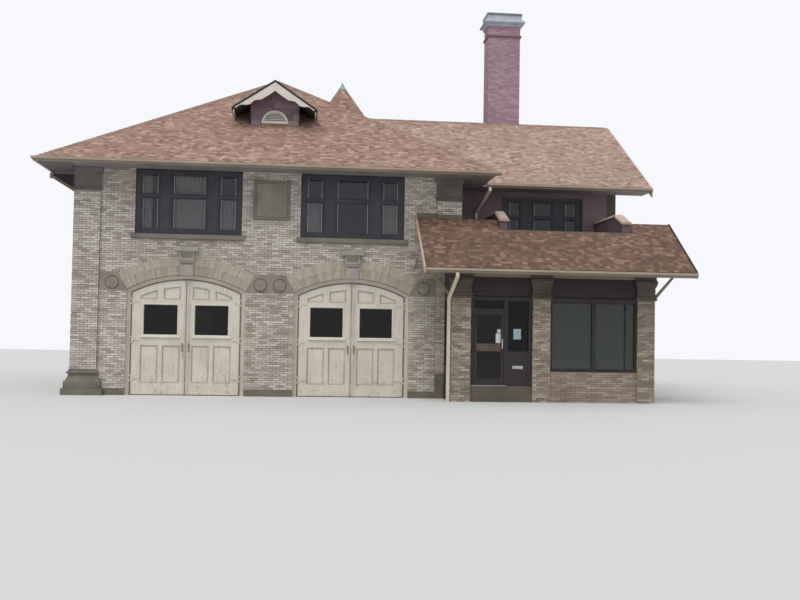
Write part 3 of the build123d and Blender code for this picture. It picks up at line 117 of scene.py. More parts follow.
OUT = (0, -1, 0)


def linear(code):
    """An sRGB hex colour as the linear colour that shaders take."""
    parts = [int(code[i:i + 2], 16) / 255 for i in (1, 3, 5)]
    return tuple(p / 12.92 if p <= 0.04045 else ((p + 0.055) / 1.055) ** 2.4 for p in parts) + (1.0,)


def add(tree, kind, inputs=None, **settings):
    """Add a node with its settings; inputs maps a socket to a value or to the socket that feeds it."""
    n = tree.nodes.new(kind)
    for key, value in settings.items():
        setattr(n, key, value)
    for key, value in (inputs or {}).items():
        if isinstance(value, bpy.types.NodeSocket):
            tree.links.new(value, n.inputs[key])
        else:
            n.inputs[key].default_value = value
    return n


def new_surface(name, shader):
    """A material with one Principled shader, and its object coordinates."""
    mat = bpy.data.materials.new(name)
    mat.use_nodes = True
    tree = mat.node_tree
    tree.nodes.clear()
    bsdf = add(tree, "ShaderNodeBsdfPrincipled", shader)
    add(tree, "ShaderNodeOutputMaterial", {"Surface": bsdf.outputs[0]})
    return mat, tree, bsdf, add(tree, "ShaderNodeTexCoord").outputs["Object"]


def mix_colours(tree, factor, a, b, how="MIX"):
    """Two colours mixed by a factor, each a colour or a socket."""
    return add(tree, "ShaderNodeMix", {0: factor, 6: a, 7: b}, data_type="RGBA", blend_type=how).outputs[2]


def noise(tree, where, size, detail=4.0, rough=0.55):
    """Noise whose features are about the given size in metres."""
    return add(tree, "ShaderNodeTexNoise", {"Vector": where, "Scale": 1.0 / size, "Detail": detail,
                                            "Roughness": rough}).outputs["Fac"]


def span(tree, value, lo, hi, to_lo=0.0, to_hi=1.0):
    """A value carried from one range to another, held at its ends."""
    return add(tree, "ShaderNodeMapRange", {"Value": value, "From Min": lo, "From Max": hi, "To Min": to_lo,
                                            "To Max": to_hi}).outputs[0]


def bump(tree, bsdf, height, distance, strength=1.0):
    """Relief from a height value."""
    relief = add(tree, "ShaderNodeBump", {"Height": height, "Distance": distance, "Strength": strength})
    tree.links.new(relief.outputs[0], bsdf.inputs["Normal"])


def shaded(tree, colour, level):
    """A colour multiplied by a grey level."""
    grey = add(tree, "ShaderNodeCombineColor", {0: level, 1: level, 2: level}).outputs[0]
    return mix_colours(tree, 1.0, colour, grey, "MULTIPLY")


def laid_surface(name, tones, roughness, grain, stain, stain_amount, relief):
    """Fired or mineral-faced units: each has its own tone, over slow stains and a fine grain."""
    mat, tree, bsdf, where = new_surface(name, {"Roughness": roughness})
    tone = add(tree, "ShaderNodeAttribute", attribute_name="tone")
    base = add(tree, "ShaderNodeValToRGB", {"Fac": tone.outputs["Fac"]})
    ramp = base.color_ramp
    ramp.elements.remove(ramp.elements[-1])
    ramp.elements[0].color = linear(tones[0.0])
    for place in list(tones)[1:]:
        ramp.elements.new(place).color = linear(tones[place])
    fine = noise(tree, where, grain, 3.0)
    dark = span(tree, noise(tree, where, 1.6, 5.0), 0.42, 0.68, 0.0, stain_amount)
    stained = mix_colours(tree, dark, base.outputs[0], linear(stain))
    speckled = shaded(tree, stained, span(tree, fine, 0.3, 0.7, 0.80, 1.16))
    tree.links.new(speckled, bsdf.inputs["Base Color"])
    bump(tree, bsdf, fine, relief)
    return mat


def wandering(tree, where, low, high, size):
    """A colour that wanders slowly between two others."""
    return mix_colours(tree, span(tree, noise(tree, where, size, 5.0), 0.3, 0.7), linear(low), linear(high))


def plain_surface(name, low, high, roughness, slow_size, grain, relief, metallic=0.0):
    """A surface that wanders between two colours, with a fine relief."""
    mat, tree, bsdf, where = new_surface(name, {"Roughness": roughness, "Metallic": metallic})
    fine = noise(tree, where, grain, 3.0)
    body = shaded(tree, wandering(tree, where, low, high, slow_size), span(tree, fine, 0.3, 0.7, 0.90, 1.08))
    tree.links.new(body, bsdf.inputs["Base Color"])
    bump(tree, bsdf, fine, relief)
    return mat


def soiled_paint(name, low, high, dirt):
    """Old oil paint: soiled in patches near the ground, with faint streaks running down."""
    mat, tree, bsdf, where = new_surface(name, {"Roughness": 0.55})
    height = add(tree, "ShaderNodeSeparateXYZ", {0: where}).outputs["Z"]
    near_ground = span(tree, height, 0.05, 1.5, 1.0, 0.0)
    stretched = add(tree, "ShaderNodeMapping", {"Vector": where, "Scale": (9.0, 9.0, 1.1)}).outputs[0]
    streaks = span(tree, noise(tree, stretched, 0.625, 6.0, 0.65), 0.52, 0.74, 0.0, 0.40)
    scuffs = span(tree, noise(tree, where, 0.16, 8.0, 0.72), 0.54, 0.66, 0.0, 0.75)
    low_dirt = add(tree, "ShaderNodeMath", {0: near_ground, 1: scuffs}, operation="MULTIPLY").outputs[0]
    both = add(tree, "ShaderNodeMath", {0: low_dirt, 1: streaks}, operation="MAXIMUM").outputs[0]
    body = mix_colours(tree, both, wandering(tree, where, low, high, 0.5), linear(dirt))
    tree.links.new(body, bsdf.inputs["Base Color"])
    bump(tree, bsdf, noise(tree, where, 0.012, 3.0), 0.0004)
    return mat


def glass_surface(name, tint, clear, ior):
    """Float glass in front of a dim room: mostly mirror-dark, with part of the light let through."""
    mat, tree, bsdf, where = new_surface(name, {"Base Color": linear(tint), "Roughness": 0.04,
                                                                "IOR": ior, "Alpha": 1.0 - clear})
    bump(tree, bsdf, noise(tree, where, 0.5, 2.0), 0.002, 0.6)
    return mat


def multiply_colour(mat, factor, colour):
    """Multiply a surface's colour by another as far as a factor says."""
    tree = mat.node_tree
    socket = next(n for n in tree.nodes if n.type == "BSDF_PRINCIPLED").inputs["Base Color"]
    tree.links.new(mix_colours(tree, factor, socket.links[0].from_socket, colour, "MULTIPLY"), socket)


def darken(mat, axis, limit, colour):
    """Multiply a surface's colour below a limit along an axis, for painted shade and for a change of tone."""
    tree = mat.node_tree
    where = add(tree, "ShaderNodeTexCoord").outputs["Object"]
    place = add(tree, "ShaderNodeSeparateXYZ", {0: where}).outputs[axis]
    inside = add(tree, "ShaderNodeMath", {0: place, 1: limit}, operation="LESS_THAN").outputs[0]
    multiply_colour(mat, inside, linear(colour))


def shade_undersides(mat, low, high):
    """Painted light: darken a surface's faces turned down and brighten those turned up."""
    tree = mat.node_tree
    normal = add(tree, "ShaderNodeNewGeometry").outputs["Normal"]
    up = add(tree, "ShaderNodeSeparateXYZ", {0: normal}).outputs["Z"]
    level = span(tree, up, -0.45, 0.0, low, high)
    multiply_colour(mat, 1.0, add(tree, "ShaderNodeCombineColor", {0: level, 1: level, 2: level}).outputs[0])


# Buff face brick, extruded and wire cut: matt, each brick a little lighter or browner than its neighbour
BUFF = laid_surface("buff_face_brick",
                    {0.0: "#A2988C", 0.3: "#BAB1A6", 0.65: "#CAC1B6", 1.0: "#DCD4C9"},
                    0.88, 0.012, "#8A8074", 0.35, 0.0012)
# Radial brick of the arches: the same clay fired warmer and more even
ARCH = laid_surface("arch_brick", {0.0: "#ABA08F", 0.5: "#B7AA9A", 1.0: "#C4B8A8"},
                    0.88, 0.012, "#94877A", 0.25, 0.0012)
# Longer, pinker brick below the shop window
LOW_BRICK = laid_surface("low_wall_brick", {0.0: "#8C7B6E", 0.5: "#9D8C7F", 1.0: "#AFA194"},
                         0.88, 0.012, "#6E6054", 0.25, 0.0012)
# The wing's brick: the same ware as the house's, browner, and darkened as painted shade
WING_BUFF = laid_surface("buff_brick_in_painted_shade",
                         {0.0: "#837667", 0.3: "#988B7B", 0.65: "#A89B8A", 1.0: "#BFB2A0"},
                         0.88, 0.012, "#6C6256", 0.35, 0.0012)
# Red face brick of the chimney: even and chalky, with a purple cast
RED = laid_surface("red_face_brick", {0.0: "#A28491", 0.5: "#AE919E", 1.0: "#BCA0AC"},
                   0.88, 0.012, "#8A6C79", 0.30, 0.0012)
# Asphalt shingles: mineral granules blended tab by tab, which gives the roofs their flecked look
SHINGLE = laid_surface("asphalt_shingles",
                       {0.0: "#886A5D", 0.25: "#A08072", 0.75: "#AE8F80", 1.0: "#C6A998"},
                       0.95, 0.008, "#8A6C60", 0.30, 0.0015)
# The wing's shingles: a newer, paler lot of the same kind
WING_SHINGLE = laid_surface("newer_asphalt_shingles",
                            {0.0: "#95796E", 0.25: "#AB8F82", 0.75: "#B89C8F", 1.0: "#CDB3A5"},
                            0.95, 0.008, "#9A7E71", 0.25, 0.0015)
# Cap shingles: cut from the same sheets, so they blend into the slopes beside them
CAPS = laid_surface("cap_shingles", {0.0: "#94786C", 0.5: "#A4887B", 1.0: "#B29689"},
                    0.95, 0.008, "#857064", 0.2, 0.0015)
# Older shingles of the pent roof: browner, with dark patches where the granules have gone
PENT_SHINGLE = laid_surface("weathered_shingles",
                            {0.0: "#684F41", 0.4: "#775D4D", 0.75: "#856858", 1.0: "#9E806C"},
                            0.95, 0.006, "#54453A", 0.45, 0.0015)
# Painted wood shingles of the dormer: a faded mauve, uneven from shingle to shingle
DORMER_PAINT = laid_surface("painted_wall_shingles",
                            {0.0: "#6B555F", 0.5: "#866E79", 1.0: "#A08893"},
                            0.7, 0.01, "#4A3640", 0.3, 0.0008)
# Lime mortar: dull and sandy, darkened by soot in the joints
MORTAR = plain_surface("lime_mortar", "#554E47", "#686057", 0.95, 0.8, 0.006, 0.001)
ARCH_MORTAR = plain_surface("pale_lime_mortar", "#7C7165", "#8C8174", 0.95, 0.8, 0.006, 0.001)
RED_MORTAR = plain_surface("red_mortar", "#94808B", "#A08D97", 0.95, 0.8, 0.006, 0.001)
# Sawn limestone: fine and matt, weathered grey and brown; capitals and pier heads darkened as painted shade
STONE = plain_surface("weathered_limestone", "#7F776D", "#978E83", 0.85, 0.5, 0.008, 0.0015)
BASE_STONE = plain_surface("base_limestone", "#67645A", "#827C70", 0.88, 0.4, 0.008, 0.0018)
# A dark grade for the plaque's joint, and as painted shade on disc rims, the plaque's inner line and keystone
# drops
JOINT_AND_SHADE_STONE = plain_surface("limestone_joints_and_painted_shade", "#544E47", "#67605A", 0.88, 0.3, 0.008, 0.0012)
KEY_STONE = plain_surface("carved_limestone", "#98918A", "#AFA89F", 0.85, 0.35, 0.008, 0.0015)
HEAD_STONE = plain_surface("shaded_limestone", "#524941", "#695E54", 0.85, 0.5, 0.008, 0.0015)
CAPITAL_STONE = plain_surface("capital_limestone_painted_shade", "#605A58", "#77706C", 0.85, 0.5, 0.008, 0.0015)
SILL_STONE = plain_surface("sill_limestone", "#736C64", "#8A8278", 0.85, 0.5, 0.008, 0.0015)
# Rain-washed cast stone of the chimney's cap, bluish under the sky, and its darker slab
CAP_STONE = plain_surface("chimney_cap_stone", "#A3A8B4", "#C2C6D2", 0.85, 0.4, 0.008, 0.0015)
SLAB = plain_surface("weathered_slab", "#6E737C", "#868B94", 0.85, 0.4, 0.008, 0.0015)
# Moulded brick of the chimney's string course: darker than its wall, so the line shows
RED_EDGE = plain_surface("moulded_red_brick", "#765A61", "#8A6C73", 0.9, 0.4, 0.008, 0.0012)
# Oil-painted joinery: an even, soft cream; the panel beads darker as painted shade, the glass beads lighter
# as painted highlight
CREAM = soiled_paint("cream_painted_wood", "#CEC7B9", "#DCD5C8", "#8D8172")
PANEL_BEAD = soiled_paint("panel_beads_painted_shade", "#B0A698", "#BFB5A7", "#807465")
BRIGHT_BEAD = soiled_paint("cream_beads_painted_highlight", "#DED8C6", "#E9E3D3", "#9A8E7E")
STRIP = soiled_paint("worn_meeting_strip", "#BFB5A8", "#CCC3B7", "#A48F86")
# A dark bead as painted shadow in the casings' rebates
REBATE_SHADOW = plain_surface("rebate_bead_painted_shadow", "#6F6357", "#84776A", 0.7, 0.4, 0.012, 0.0004)
CASING_PAINT = plain_surface("casing_painted_wood", "#C5BAAA", "#D2C8B9", 0.55, 0.5, 0.012,
                             0.0004)
TRIM_PAINT = plain_surface("light_trim_paint", "#D8CFC5", "#E6DED4", 0.55, 0.5, 0.012, 0.0004)
# Painted boards under the eaves: flat and greyed, and a near-black copy as painted shade for boards that turn
# from the light
SOFFIT = plain_surface("soffit_boards", "#7C7474", "#938B8A", 0.7, 0.6, 0.012, 0.0006)
PENT_WOOD = plain_surface("pent_soffit_boards", "#8D7C62", "#A08F73", 0.7, 0.6, 0.012, 0.0006)
DARK_SOFFIT = plain_surface("shaded_eaves_boards", "#3A3335", "#4A4143", 0.7, 0.4, 0.012,
                            0.0005)
# Painted sheet metal: smooth and slightly glossy
GUTTER = plain_surface("painted_gutter_sheet", "#998A78", "#AB9B88", 0.42, 1.0, 0.02, 0.0003)
PIPE = plain_surface("painted_downspout_sheet", "#CBBEA8", "#DACDB8", 0.42, 1.0, 0.02, 0.0003)
# Dark satin paint and enamel of the frames: they catch a thin highlight on their edges
FRAME = plain_surface("dark_frame_paint", "#32323A", "#42424B", 0.45, 0.6, 0.01, 0.0003)
SHOP = plain_surface("shop_frame_enamel", "#261F21", "#332A2C", 0.4, 0.8, 0.01, 0.0003)
RAIL = plain_surface("brown_kick_metal", "#54453D", "#625248", 0.45, 0.4, 0.01, 0.0003)
# Painted boards: maroon over the shop, mauve on the wing's upper wall, and one left unpainted
BOARDS = plain_surface("maroon_boards", "#2E2024", "#3B2A2F", 0.6, 0.8, 0.01, 0.0005)
WING_BOARDS = plain_surface("upper_wall_boards", "#75636A", "#87737A", 0.65, 0.8, 0.01, 0.0005)
BARE_WOOD = plain_surface("unpainted_board", "#957F66", "#A99278", 0.8, 0.2, 0.01, 0.0006)
# Roofing felt, floated concrete and a dark sheet that is painted shade: dull grounds
DECK = plain_surface("roofing_felt", "#3C3A38", "#4C4A47", 0.9, 0.8, 0.01, 0.001)
CONCRETE = plain_surface("floated_concrete", "#8A8680", "#9C9892", 0.85, 0.9, 0.01, 0.0008)
SHADE_SHEET = plain_surface("painted_shade_sheet", "#1B1A1A", "#242222", 0.95, 0.8, 0.02, 0.0003)
# Bare metals: dulled by weather, brighter where hands rub them
PATINA = plain_surface("weathered_copper", "#7E9A92", "#98AFA6", 0.55, 0.3, 0.01, 0.0004, 0.3)
FLASHING = plain_surface("lead_flashing", "#6B5E52", "#7C6E60", 0.6, 0.6, 0.01, 0.0004, 0.3)
EDGE = plain_surface("dark_drip_edge", "#2E2A2A", "#3C3736", 0.5, 0.8, 0.01, 0.0003, 0.4)
IRON = plain_surface("worn_iron", "#6E675C", "#857D70", 0.5, 0.3, 0.01, 0.0004, 0.4)
TRACK = plain_surface("storm_window_track", "#98989B", "#AEAEB0", 0.35, 0.5, 0.01, 0.0002,
                      0.6)
BRIGHT = plain_surface("satin_aluminium", "#B4B4B0", "#C8C8C4", 0.35, 0.3, 0.01, 0.0002, 0.7)
# Woven cotton and printed paper: matt and pale, so the sky in the panes stays darker than the curtains
CURTAIN = plain_surface("curtain_cloth", "#D2D4D0", "#E6E8E4", 0.9, 0.4, 0.004, 0.0005)
BLUE_PAPER = plain_surface("blue_notice_paper", "#9DB4BC", "#B2C6CC", 0.8, 0.3, 0.01, 0.0001)
PAPER = plain_surface("notice_paper", "#C6CCD0", "#D4D8DA", 0.8, 0.3, 0.01, 0.0001)
# Panes: old storm glass mirrors the sky most, the glass of doors and entrance is nearly black,
# and the shop window's is greenish
PANE = glass_surface("window_pane_glass", "#3A3E45", 0.60, 1.9)
DOOR_PANE = glass_surface("door_pane_glass", "#141011", 0.10, 1.44)
ENTRANCE_PANE = glass_surface("entrance_pane_glass", "#0C0E0D", 0.30, 1.42)
SHOP_PANE = glass_surface("shop_pane_glass", "#3A423B", 0.30, 1.68)

# Painted shade on the left eaves, pipe and gutter undersides, painted highlight on gutter tops; lower trim
# warmer than the gable's
darken(SOFFIT, "X", -5.62, "#B4AEB2")
darken(PIPE, "X", -5.0, "#A39C98")
darken(TRIM_PAINT, "Z", 6.2, "#E4D3C6")
shade_undersides(GUTTER, 0.62, 1.16)


def laying_tree():
    """Boxes laid on points, each with its size, its turn and its own tone, and set in or out a little."""
    tree = bpy.data.node_groups.new("laid_units", "GeometryNodeTree")
    for name, kind in (("Points", "Geometry"), ("Unevenness", "Float"), ("Seed", "Int"),
                       ("Finish", "Material")):
        tree.interface.new_socket(name, in_out="INPUT", socket_type="NodeSocket" + kind)
    tree.interface.new_socket("Laid", in_out="OUTPUT", socket_type="NodeSocketGeometry")
    given = add(tree, "NodeGroupInput").outputs

    def mark(name, kind):
        return add(tree, "GeometryNodeInputNamedAttribute", {"Name": name}, data_type=kind).outputs[0]

    def reckon(a, b, how):
        return add(tree, "ShaderNodeMath", {0: a, 1: b}, operation=how).outputs[0]

    cell = mark("cell", "INT")
    spin = add(tree, "FunctionNodeEulerToRotation", {"Euler": mark("turn", "FLOAT_VECTOR")}).outputs[0]
    unit = add(tree, "GeometryNodeMeshCube").outputs["Mesh"]
    laid = add(tree, "GeometryNodeInstanceOnPoints",
               {"Points": given["Points"], "Instance": unit, "Rotation": spin,
                "Scale": mark("size", "FLOAT_VECTOR")}).outputs[0]
    tone = add(tree, "FunctionNodeRandomValue", {"ID": cell, "Seed": given["Seed"]},
               data_type="FLOAT").outputs[1]
    out = add(tree, "FunctionNodeRandomValue",
              {2: reckon(given["Unevenness"], -1.0, "MULTIPLY"), 3: given["Unevenness"], "ID": cell,
               "Seed": reckon(given["Seed"], 7.0, "ADD")}, data_type="FLOAT").outputs[1]
    shift = add(tree, "ShaderNodeCombineXYZ", {"Z": out}).outputs[0]
    moved = add(tree, "GeometryNodeTranslateInstances", {"Instances": laid, "Translation": shift}).outputs[0]
    toned = add(tree, "GeometryNodeStoreNamedAttribute", {"Geometry": moved, "Name": "tone", "Value": tone},
                data_type="FLOAT", domain="INSTANCE").outputs[0]
    real = add(tree, "GeometryNodeRealizeInstances", {"Geometry": toned}).outputs[0]
    done = add(tree, "GeometryNodeSetMaterial", {"Geometry": real, "Material": given["Finish"]}).outputs[0]
    add(tree, "NodeGroupOutput", {"Laid": done})
    return tree


LAYING = laying_tree()


def ride_as(name, mesh, body):
    """Put a mesh into the scene as a piece that rides on a body."""
    piece = bpy.data.objects.new(name, mesh)
    bpy.context.scene.collection.objects.link(piece)
    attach(piece, body)
    return piece


def lay(name, units, finish, unevenness, seed):
    """Lay units given as (centre, frame matrix, size, cell) on the station."""
    mesh = bpy.data.meshes.new(name + "_points")
    mesh.vertices.add(len(units))
    mesh.vertices.foreach_set("co", np.array([u[0] for u in units], dtype=np.float32).ravel())
    for key, values in (("size", [u[2] for u in units]), ("turn", [tuple(u[1].to_euler()) for u in units])):
        mesh.attributes.new(key, "FLOAT_VECTOR", "POINT").data.foreach_set(
            "vector", np.array(values, dtype=np.float32).ravel())
    cells = np.array([u[3] for u in units], dtype=np.int32)
    mesh.attributes.new("cell", "INT", "POINT").data.foreach_set("value", cells)
    mesh.update()
    points = bpy.data.objects.new(name + "_points", mesh)
    bpy.context.scene.collection.objects.link(points)
    mod = points.modifiers.new("laying", "NODES")
    mod.node_group = LAYING
    values = {"Unevenness": unevenness, "Seed": seed, "Finish": finish}
    for item in LAYING.interface.items_tree:
        if item.in_out == "INPUT" and item.name in values:
            mod[item.identifier] = values[item.name]
    ready = points.evaluated_get(bpy.context.evaluated_depsgraph_get())
    plain = bpy.data.meshes.new_from_object(ready)
    plain.name = name
    bpy.data.objects.remove(points)
    if not plain.materials:
        plain.materials.append(finish)
    ride_as(name, plain, "station")


def plane_frame(along, up):
    """Rotation whose local x runs along, y runs up and z looks out."""
    x = Vector(along).normalized()
    y = Vector(up).normalized()
    return Matrix((x, y, x.cross(y))).transposed()


def course_bounds(a, b, row, length, shift):
    """Joint places of one course between a and b, in running bond."""
    first = math.ceil((a - shift) / length) - 1
    marks = []
    k = first
    while True:
        at = k * length + shift + (row % 2) * length / 2
        if at > b - 0.05:
            break
        if at > a + 0.05:
            marks.append((at, k))
        k += 1
    return [(a, first - 1)] + marks + [(b, k)]


def brickwork(origin, along, width, z0, z1, limits=None, gaps=(), phase=0.0, stand=0.006, length=BRICK_LEN):
    """Stretchers on an upright wall face: limits(z) gives its sides, gaps are (u0, u1, z0, z1) holes."""
    thick = 0.02
    turn = plane_frame(along, UP)
    o = Vector(origin)
    u_dir = Vector(along).normalized()
    units = []
    row = math.floor((z0 - FIRST_JOINT) / COURSE)
    while FIRST_JOINT + row * COURSE < z1 - 0.004:
        low, high = FIRST_JOINT + row * COURSE, FIRST_JOINT + (row + 1) * COURSE
        cuts = sorted({max(low, z0), min(high, z1)} |
                      {z for g in gaps for z in g[2:4] if max(low, z0) + 0.006 < z < min(high, z1) - 0.006})
        for lo, hi in zip(cuts, cuts[1:]):
            mid = (lo + hi) / 2
            left, right = limits(mid) if limits else (0.0, width)
            if right - left < 0.03:
                continue
            free = [(left, right)]
            for g in gaps:
                if g[2] < mid < g[3]:
                    free = [part for a, b in free for part in ((a, min(b, g[0])), (max(a, g[1]), b))
                            if part[1] - part[0] > 0.03]
            bottom = lo + (JOINT / 2 if lo == low else 0)
            top = hi - (JOINT / 2 if hi == high else 0)
            for a, b in free:
                marks = course_bounds(a, b, row, length, phase)
                for (p, k), (q, _) in zip(marks, marks[1:]):
                    p2 = p + (JOINT / 2 if p != a else 0)
                    q2 = q - (JOINT / 2 if q != b else 0)
                    centre = (o + u_dir * ((p2 + q2) / 2) + Vector((0, 0, (bottom + top) / 2)) +
                              turn.col[2] * (stand - thick / 2))
                    size = (q2 - p2, top - bottom, thick)
                    units.append((centre, turn, size, (row + 60) * 997 + k + 40))
        row += 1
    return units


def window_gaps(centres, edge):
    """Holes of the single windows in a wall, measured from the wall's edge."""
    return [(edge - c - SINGLE_HALF, edge - c + SINGLE_HALF, z0, z1) for c in centres for z0, z1 in SINGLE_Z]


def doorway_gaps():
    """Holes of the arched doorways in the front wall, course by course up to the arches' middle."""
    reach = DOOR_R + RING / 2
    low = z = FIRST_JOINT - COURSE * math.floor(FIRST_JOINT / COURSE)
    gaps = []
    while z < 4.2:
        rise = z + COURSE / 2 - DOOR_ARC_Z
        half = math.sqrt(max(reach ** 2 - rise ** 2, 0.0)) if z + COURSE / 2 > SPRING else DOOR_HALF
        half = min(half, DOOR_HALF + 0.14)
        if half > 0:
            gaps += [(x - half + HOUSE, x + half + HOUSE, z, z + COURSE) for x in (-DOOR_X, DOOR_X)]
        z += COURSE
    return gaps + [(x - DOOR_HALF + HOUSE, x + DOOR_HALF + HOUSE, 0.0, low) for x in (-DOOR_X, DOOR_X)]


openings = [(x - WINDOW_HALF + HOUSE, x + WINDOW_HALF + HOUSE, SILL, WALL_TOP + 1)
            for x in (-WINDOW_X, WINDOW_X)]
front_units = brickwork((-HOUSE, FRONT, 0), (1, 0, 0), 2 * HOUSE, 0.0, WALL_TOP,
                        gaps=openings + doorway_gaps())
lay("front_bricks", front_units, BUFF, 0.001, 3)
lay("left_wall_bricks", brickwork((-HOUSE, BACK, 0), (0, -1, 0), BACK - FRONT, 0.0, WALL_TOP,
                                  gaps=window_gaps(SIDE_Y, BACK)), BUFF, 0.001, 4)
lay("back_wall_bricks", brickwork((HOUSE, BACK, 0), (-1, 0, 0), 2 * HOUSE, 0.0, WALL_TOP,
                                  gaps=window_gaps(BACK_X, HOUSE)), BUFF, 0.001, 5)
lay("right_wall_bricks", brickwork((HOUSE, WING_BACK, 0), (0, 1, 0), BACK - WING_BACK, 0.0, WALL_TOP) +
    brickwork((HOUSE, FRONT, 0), (0, 1, 0), WING_UPPER - FRONT, 4.96, WALL_TOP), BUFF, 0.001, 6)


def pier_bricks():
    """Corner piers: bands of six courses between sunk joints."""
    gaps = []
    z = FIRST_JOINT
    while z < SHAFT_Z[1]:
        gaps.append((-1.0, 2.0, z - 0.007, z + 0.007))
        z += 6 * COURSE
    units = []
    for sx, sy in ((-1, -1), (1, -1), (-1, 1), (1, 1)):
        near_x, far_x = sorted((sx * PIER_IN, sx * PIER_OUT))
        near_y, far_y = sorted((sy * (BACK + PIER_PROUD), sy * (BACK + PIER_PROUD - PIER_W)))
        face = (near_x if sy < 0 else far_x, sy * (BACK + PIER_PROUD), 0)
        side = (sx * PIER_OUT, far_y if sx < 0 else near_y, 0)
        foot = 5.0 if (sx, sy) == (1, -1) else SHAFT_Z[0]
        units += brickwork(face, (-sy, 0, 0), PIER_W, SHAFT_Z[0], SHAFT_Z[1], gaps=gaps, phase=0.05)
        units += brickwork(side, (0, sx, 0), PIER_W, foot, SHAFT_Z[1], gaps=gaps, phase=0.10)
    return units


lay("pier_bricks", pier_bricks(), BUFF, 0.001, 7)


def arch_bricks():
    """Arches: bricks standing radially, in two rows with broken joints."""
    units = []
    fan = math.asin(DOOR_HALF / DOOR_R)
    count = int(round(2 * fan * (DOOR_R + RING / 2) / COURSE))
    for cx in (-DOOR_X, DOOR_X):
        for i in range(count):
            angle = -fan + (i + 0.5) * 2 * fan / count
            radial = Vector((math.sin(angle), 0, math.cos(angle)))
            turn = plane_frame((math.cos(angle), 0, -math.sin(angle)), radial)
            split = 0.272 if i % 2 else 0.268
            for j, (a, b) in enumerate(((0.0, split), (split, RING))):
                at = Vector((cx, FRONT, DOOR_ARC_Z)) + radial * (DOOR_R + (a + b) / 2) - Vector((0, 0.001, 0))
                size = (2 * fan * (DOOR_R + a) / count - 0.008, b - a - 0.008, 0.02)
                units.append((at, turn, size, i * 7 + j + int(cx) * 1000 + 9000))
    return units


lay("arch_bricks", arch_bricks(), ARCH, 0.001, 8)

# Brick returns inside the doorways and the upper window openings, back to their frames
units = []
for cxs, half, deep, z0, z1 in (((-DOOR_X, DOOR_X), DOOR_HALF, REVEAL, 0.0, SPRING),
                                ((-WINDOW_X, WINDOW_X), WINDOW_HALF, 0.09, SILL, WALL_TOP)):
    for cx in cxs:
        units += brickwork((cx - half, FRONT - 0.006, 0), (0, 1, 0), deep + 0.006, z0, z1, stand=0.003)
        units += brickwork((cx + half, FRONT + deep, 0), (0, -1, 0), deep + 0.006, z0, z1, stand=0.003)
lay("reveal_bricks", units, BUFF, 0.001, 9)

# Wing: piers, the wall below the shop window, the right and the back wall
units = []
for x0, x1 in WING_PIERS:
    units += brickwork((x0, WING_FRONT, 0), (1, 0, 0), x1 - x0, 0.0, WING_SHAFT, phase=x0)
    units += brickwork((x1, WING_FRONT - 0.006, 0), (0, 1, 0), 0.08, 0.0, WING_SHAFT, phase=0.1, stand=0.004)
    units += brickwork((x0, WING_FRONT + 0.074, 0), (0, -1, 0), 0.08, 0.0, WING_SHAFT, phase=0.1, stand=0.004)
units += brickwork((WING_PIERS[0][0], WING_FRONT + 0.30, 0), (0, -1, 0), 0.30, 0.0, WING_SHAFT, phase=0.1,
                   stand=0.004)
lay("wing_pier_bricks", units, WING_BUFF, 0.001, 10)
lay("low_wall_bricks", brickwork((WING_BAYS[1][0], WING_FRONT + 0.06, 0), (1, 0, 0), 2.60, 0.0, 0.89,
                                 phase=0.03, stand=0.008, length=0.305), LOW_BRICK, 0.001, 11)


def right_wall_limits(z):
    """Sides of the wing's right wall at a height, as distances behind its front edge."""
    y0, y1 = WING_FRONT, WING_BACK
    pent_under = PENT_LOW[1] + PENT_SLOPE * (WING_FRONT - PENT_LOW[0]) - 0.14
    if z > pent_under:
        y0 = WING_FRONT + (z - pent_under) / PENT_SLOPE
    if z > 5.24:
        y0 = WING_UPPER
    roof_under = EAVE_Z - 0.17 + PITCH * EAVE
    if z > roof_under:
        y0 = WING_UPPER + (z - roof_under) / PITCH
        y1 = WING_BACK - (z - roof_under) / PITCH
    return y0 - WING_FRONT, y1 - WING_FRONT


lay("wing_right_bricks", brickwork((WING_X1, WING_FRONT, 0), (0, 1, 0), WING_BACK - WING_FRONT, 0.0,
                                   WING_RIDGE_Z, limits=right_wall_limits), WING_BUFF, 0.001, 12)
lay("wing_back_bricks", brickwork((WING_X1, WING_BACK, 0), (-1, 0, 0), WING_X1 - HOUSE, 0.0, WALL_TOP),
    WING_BUFF, 0.001, 13)


def main_roof_z(x, y):
    """Height of the main roof's surface."""
    return EAVE_Z + PITCH * min(EAVE_X - abs(x), EAVE_Y - abs(y))


def wing_roof_z(x, y):
    """Height of the wing roof's surface, the same all along its ridge."""
    return EAVE_Z + PITCH * min(y - WING_EAVE0, WING_EAVE1 - y)


def four_sides(x0, x1, y0, y1):
    """Start, direction and length of each side of a rectangle, its outside on the right hand."""
    return (((x0, y0), (1, 0), x1 - x0), ((x1, y0), (0, 1), y1 - y0), ((x1, y1), (-1, 0), x1 - x0),
            ((x0, y1), (0, -1), y1 - y0))


def clear_of(roof_z, start, along, width, steps):
    """Limits of a wall face that rises out of a roof: what stands clear of the roof at a height."""
    marks = [width * s / steps for s in range(steps + 1)]

    def sides(z):
        free = [u for u in marks if roof_z(start[0] + along[0] * u, start[1] + along[1] * u) < z + 0.06]
        return (min(free), max(free)) if free else (0, 0)

    return sides


tx, ty = TOWER
units = []
for start, along, width in four_sides(tx - TOWER_HALF, tx + TOWER_HALF, ty - TOWER_HALF, ty + TOWER_HALF):
    units += brickwork((*start, 0), (*along, 0), width, 7.5, 10.13,
                       limits=clear_of(main_roof_z, start, along, width, 48))
lay("tower_bricks", units, BUFF, 0.001, 14)
units = []
for start, along, width in four_sides(*CHIMNEY_X, *CHIMNEY_Y):
    units += brickwork((*start, 0), (*along, 0), width, 9.0, CHIMNEY_TOP, gaps=[(-1.0, 3.0, 12.855, 12.945)],
                       limits=clear_of(wing_roof_z, start, along, width, 24), phase=0.06)
lay("chimney_bricks", units, RED, 0.001, 15)


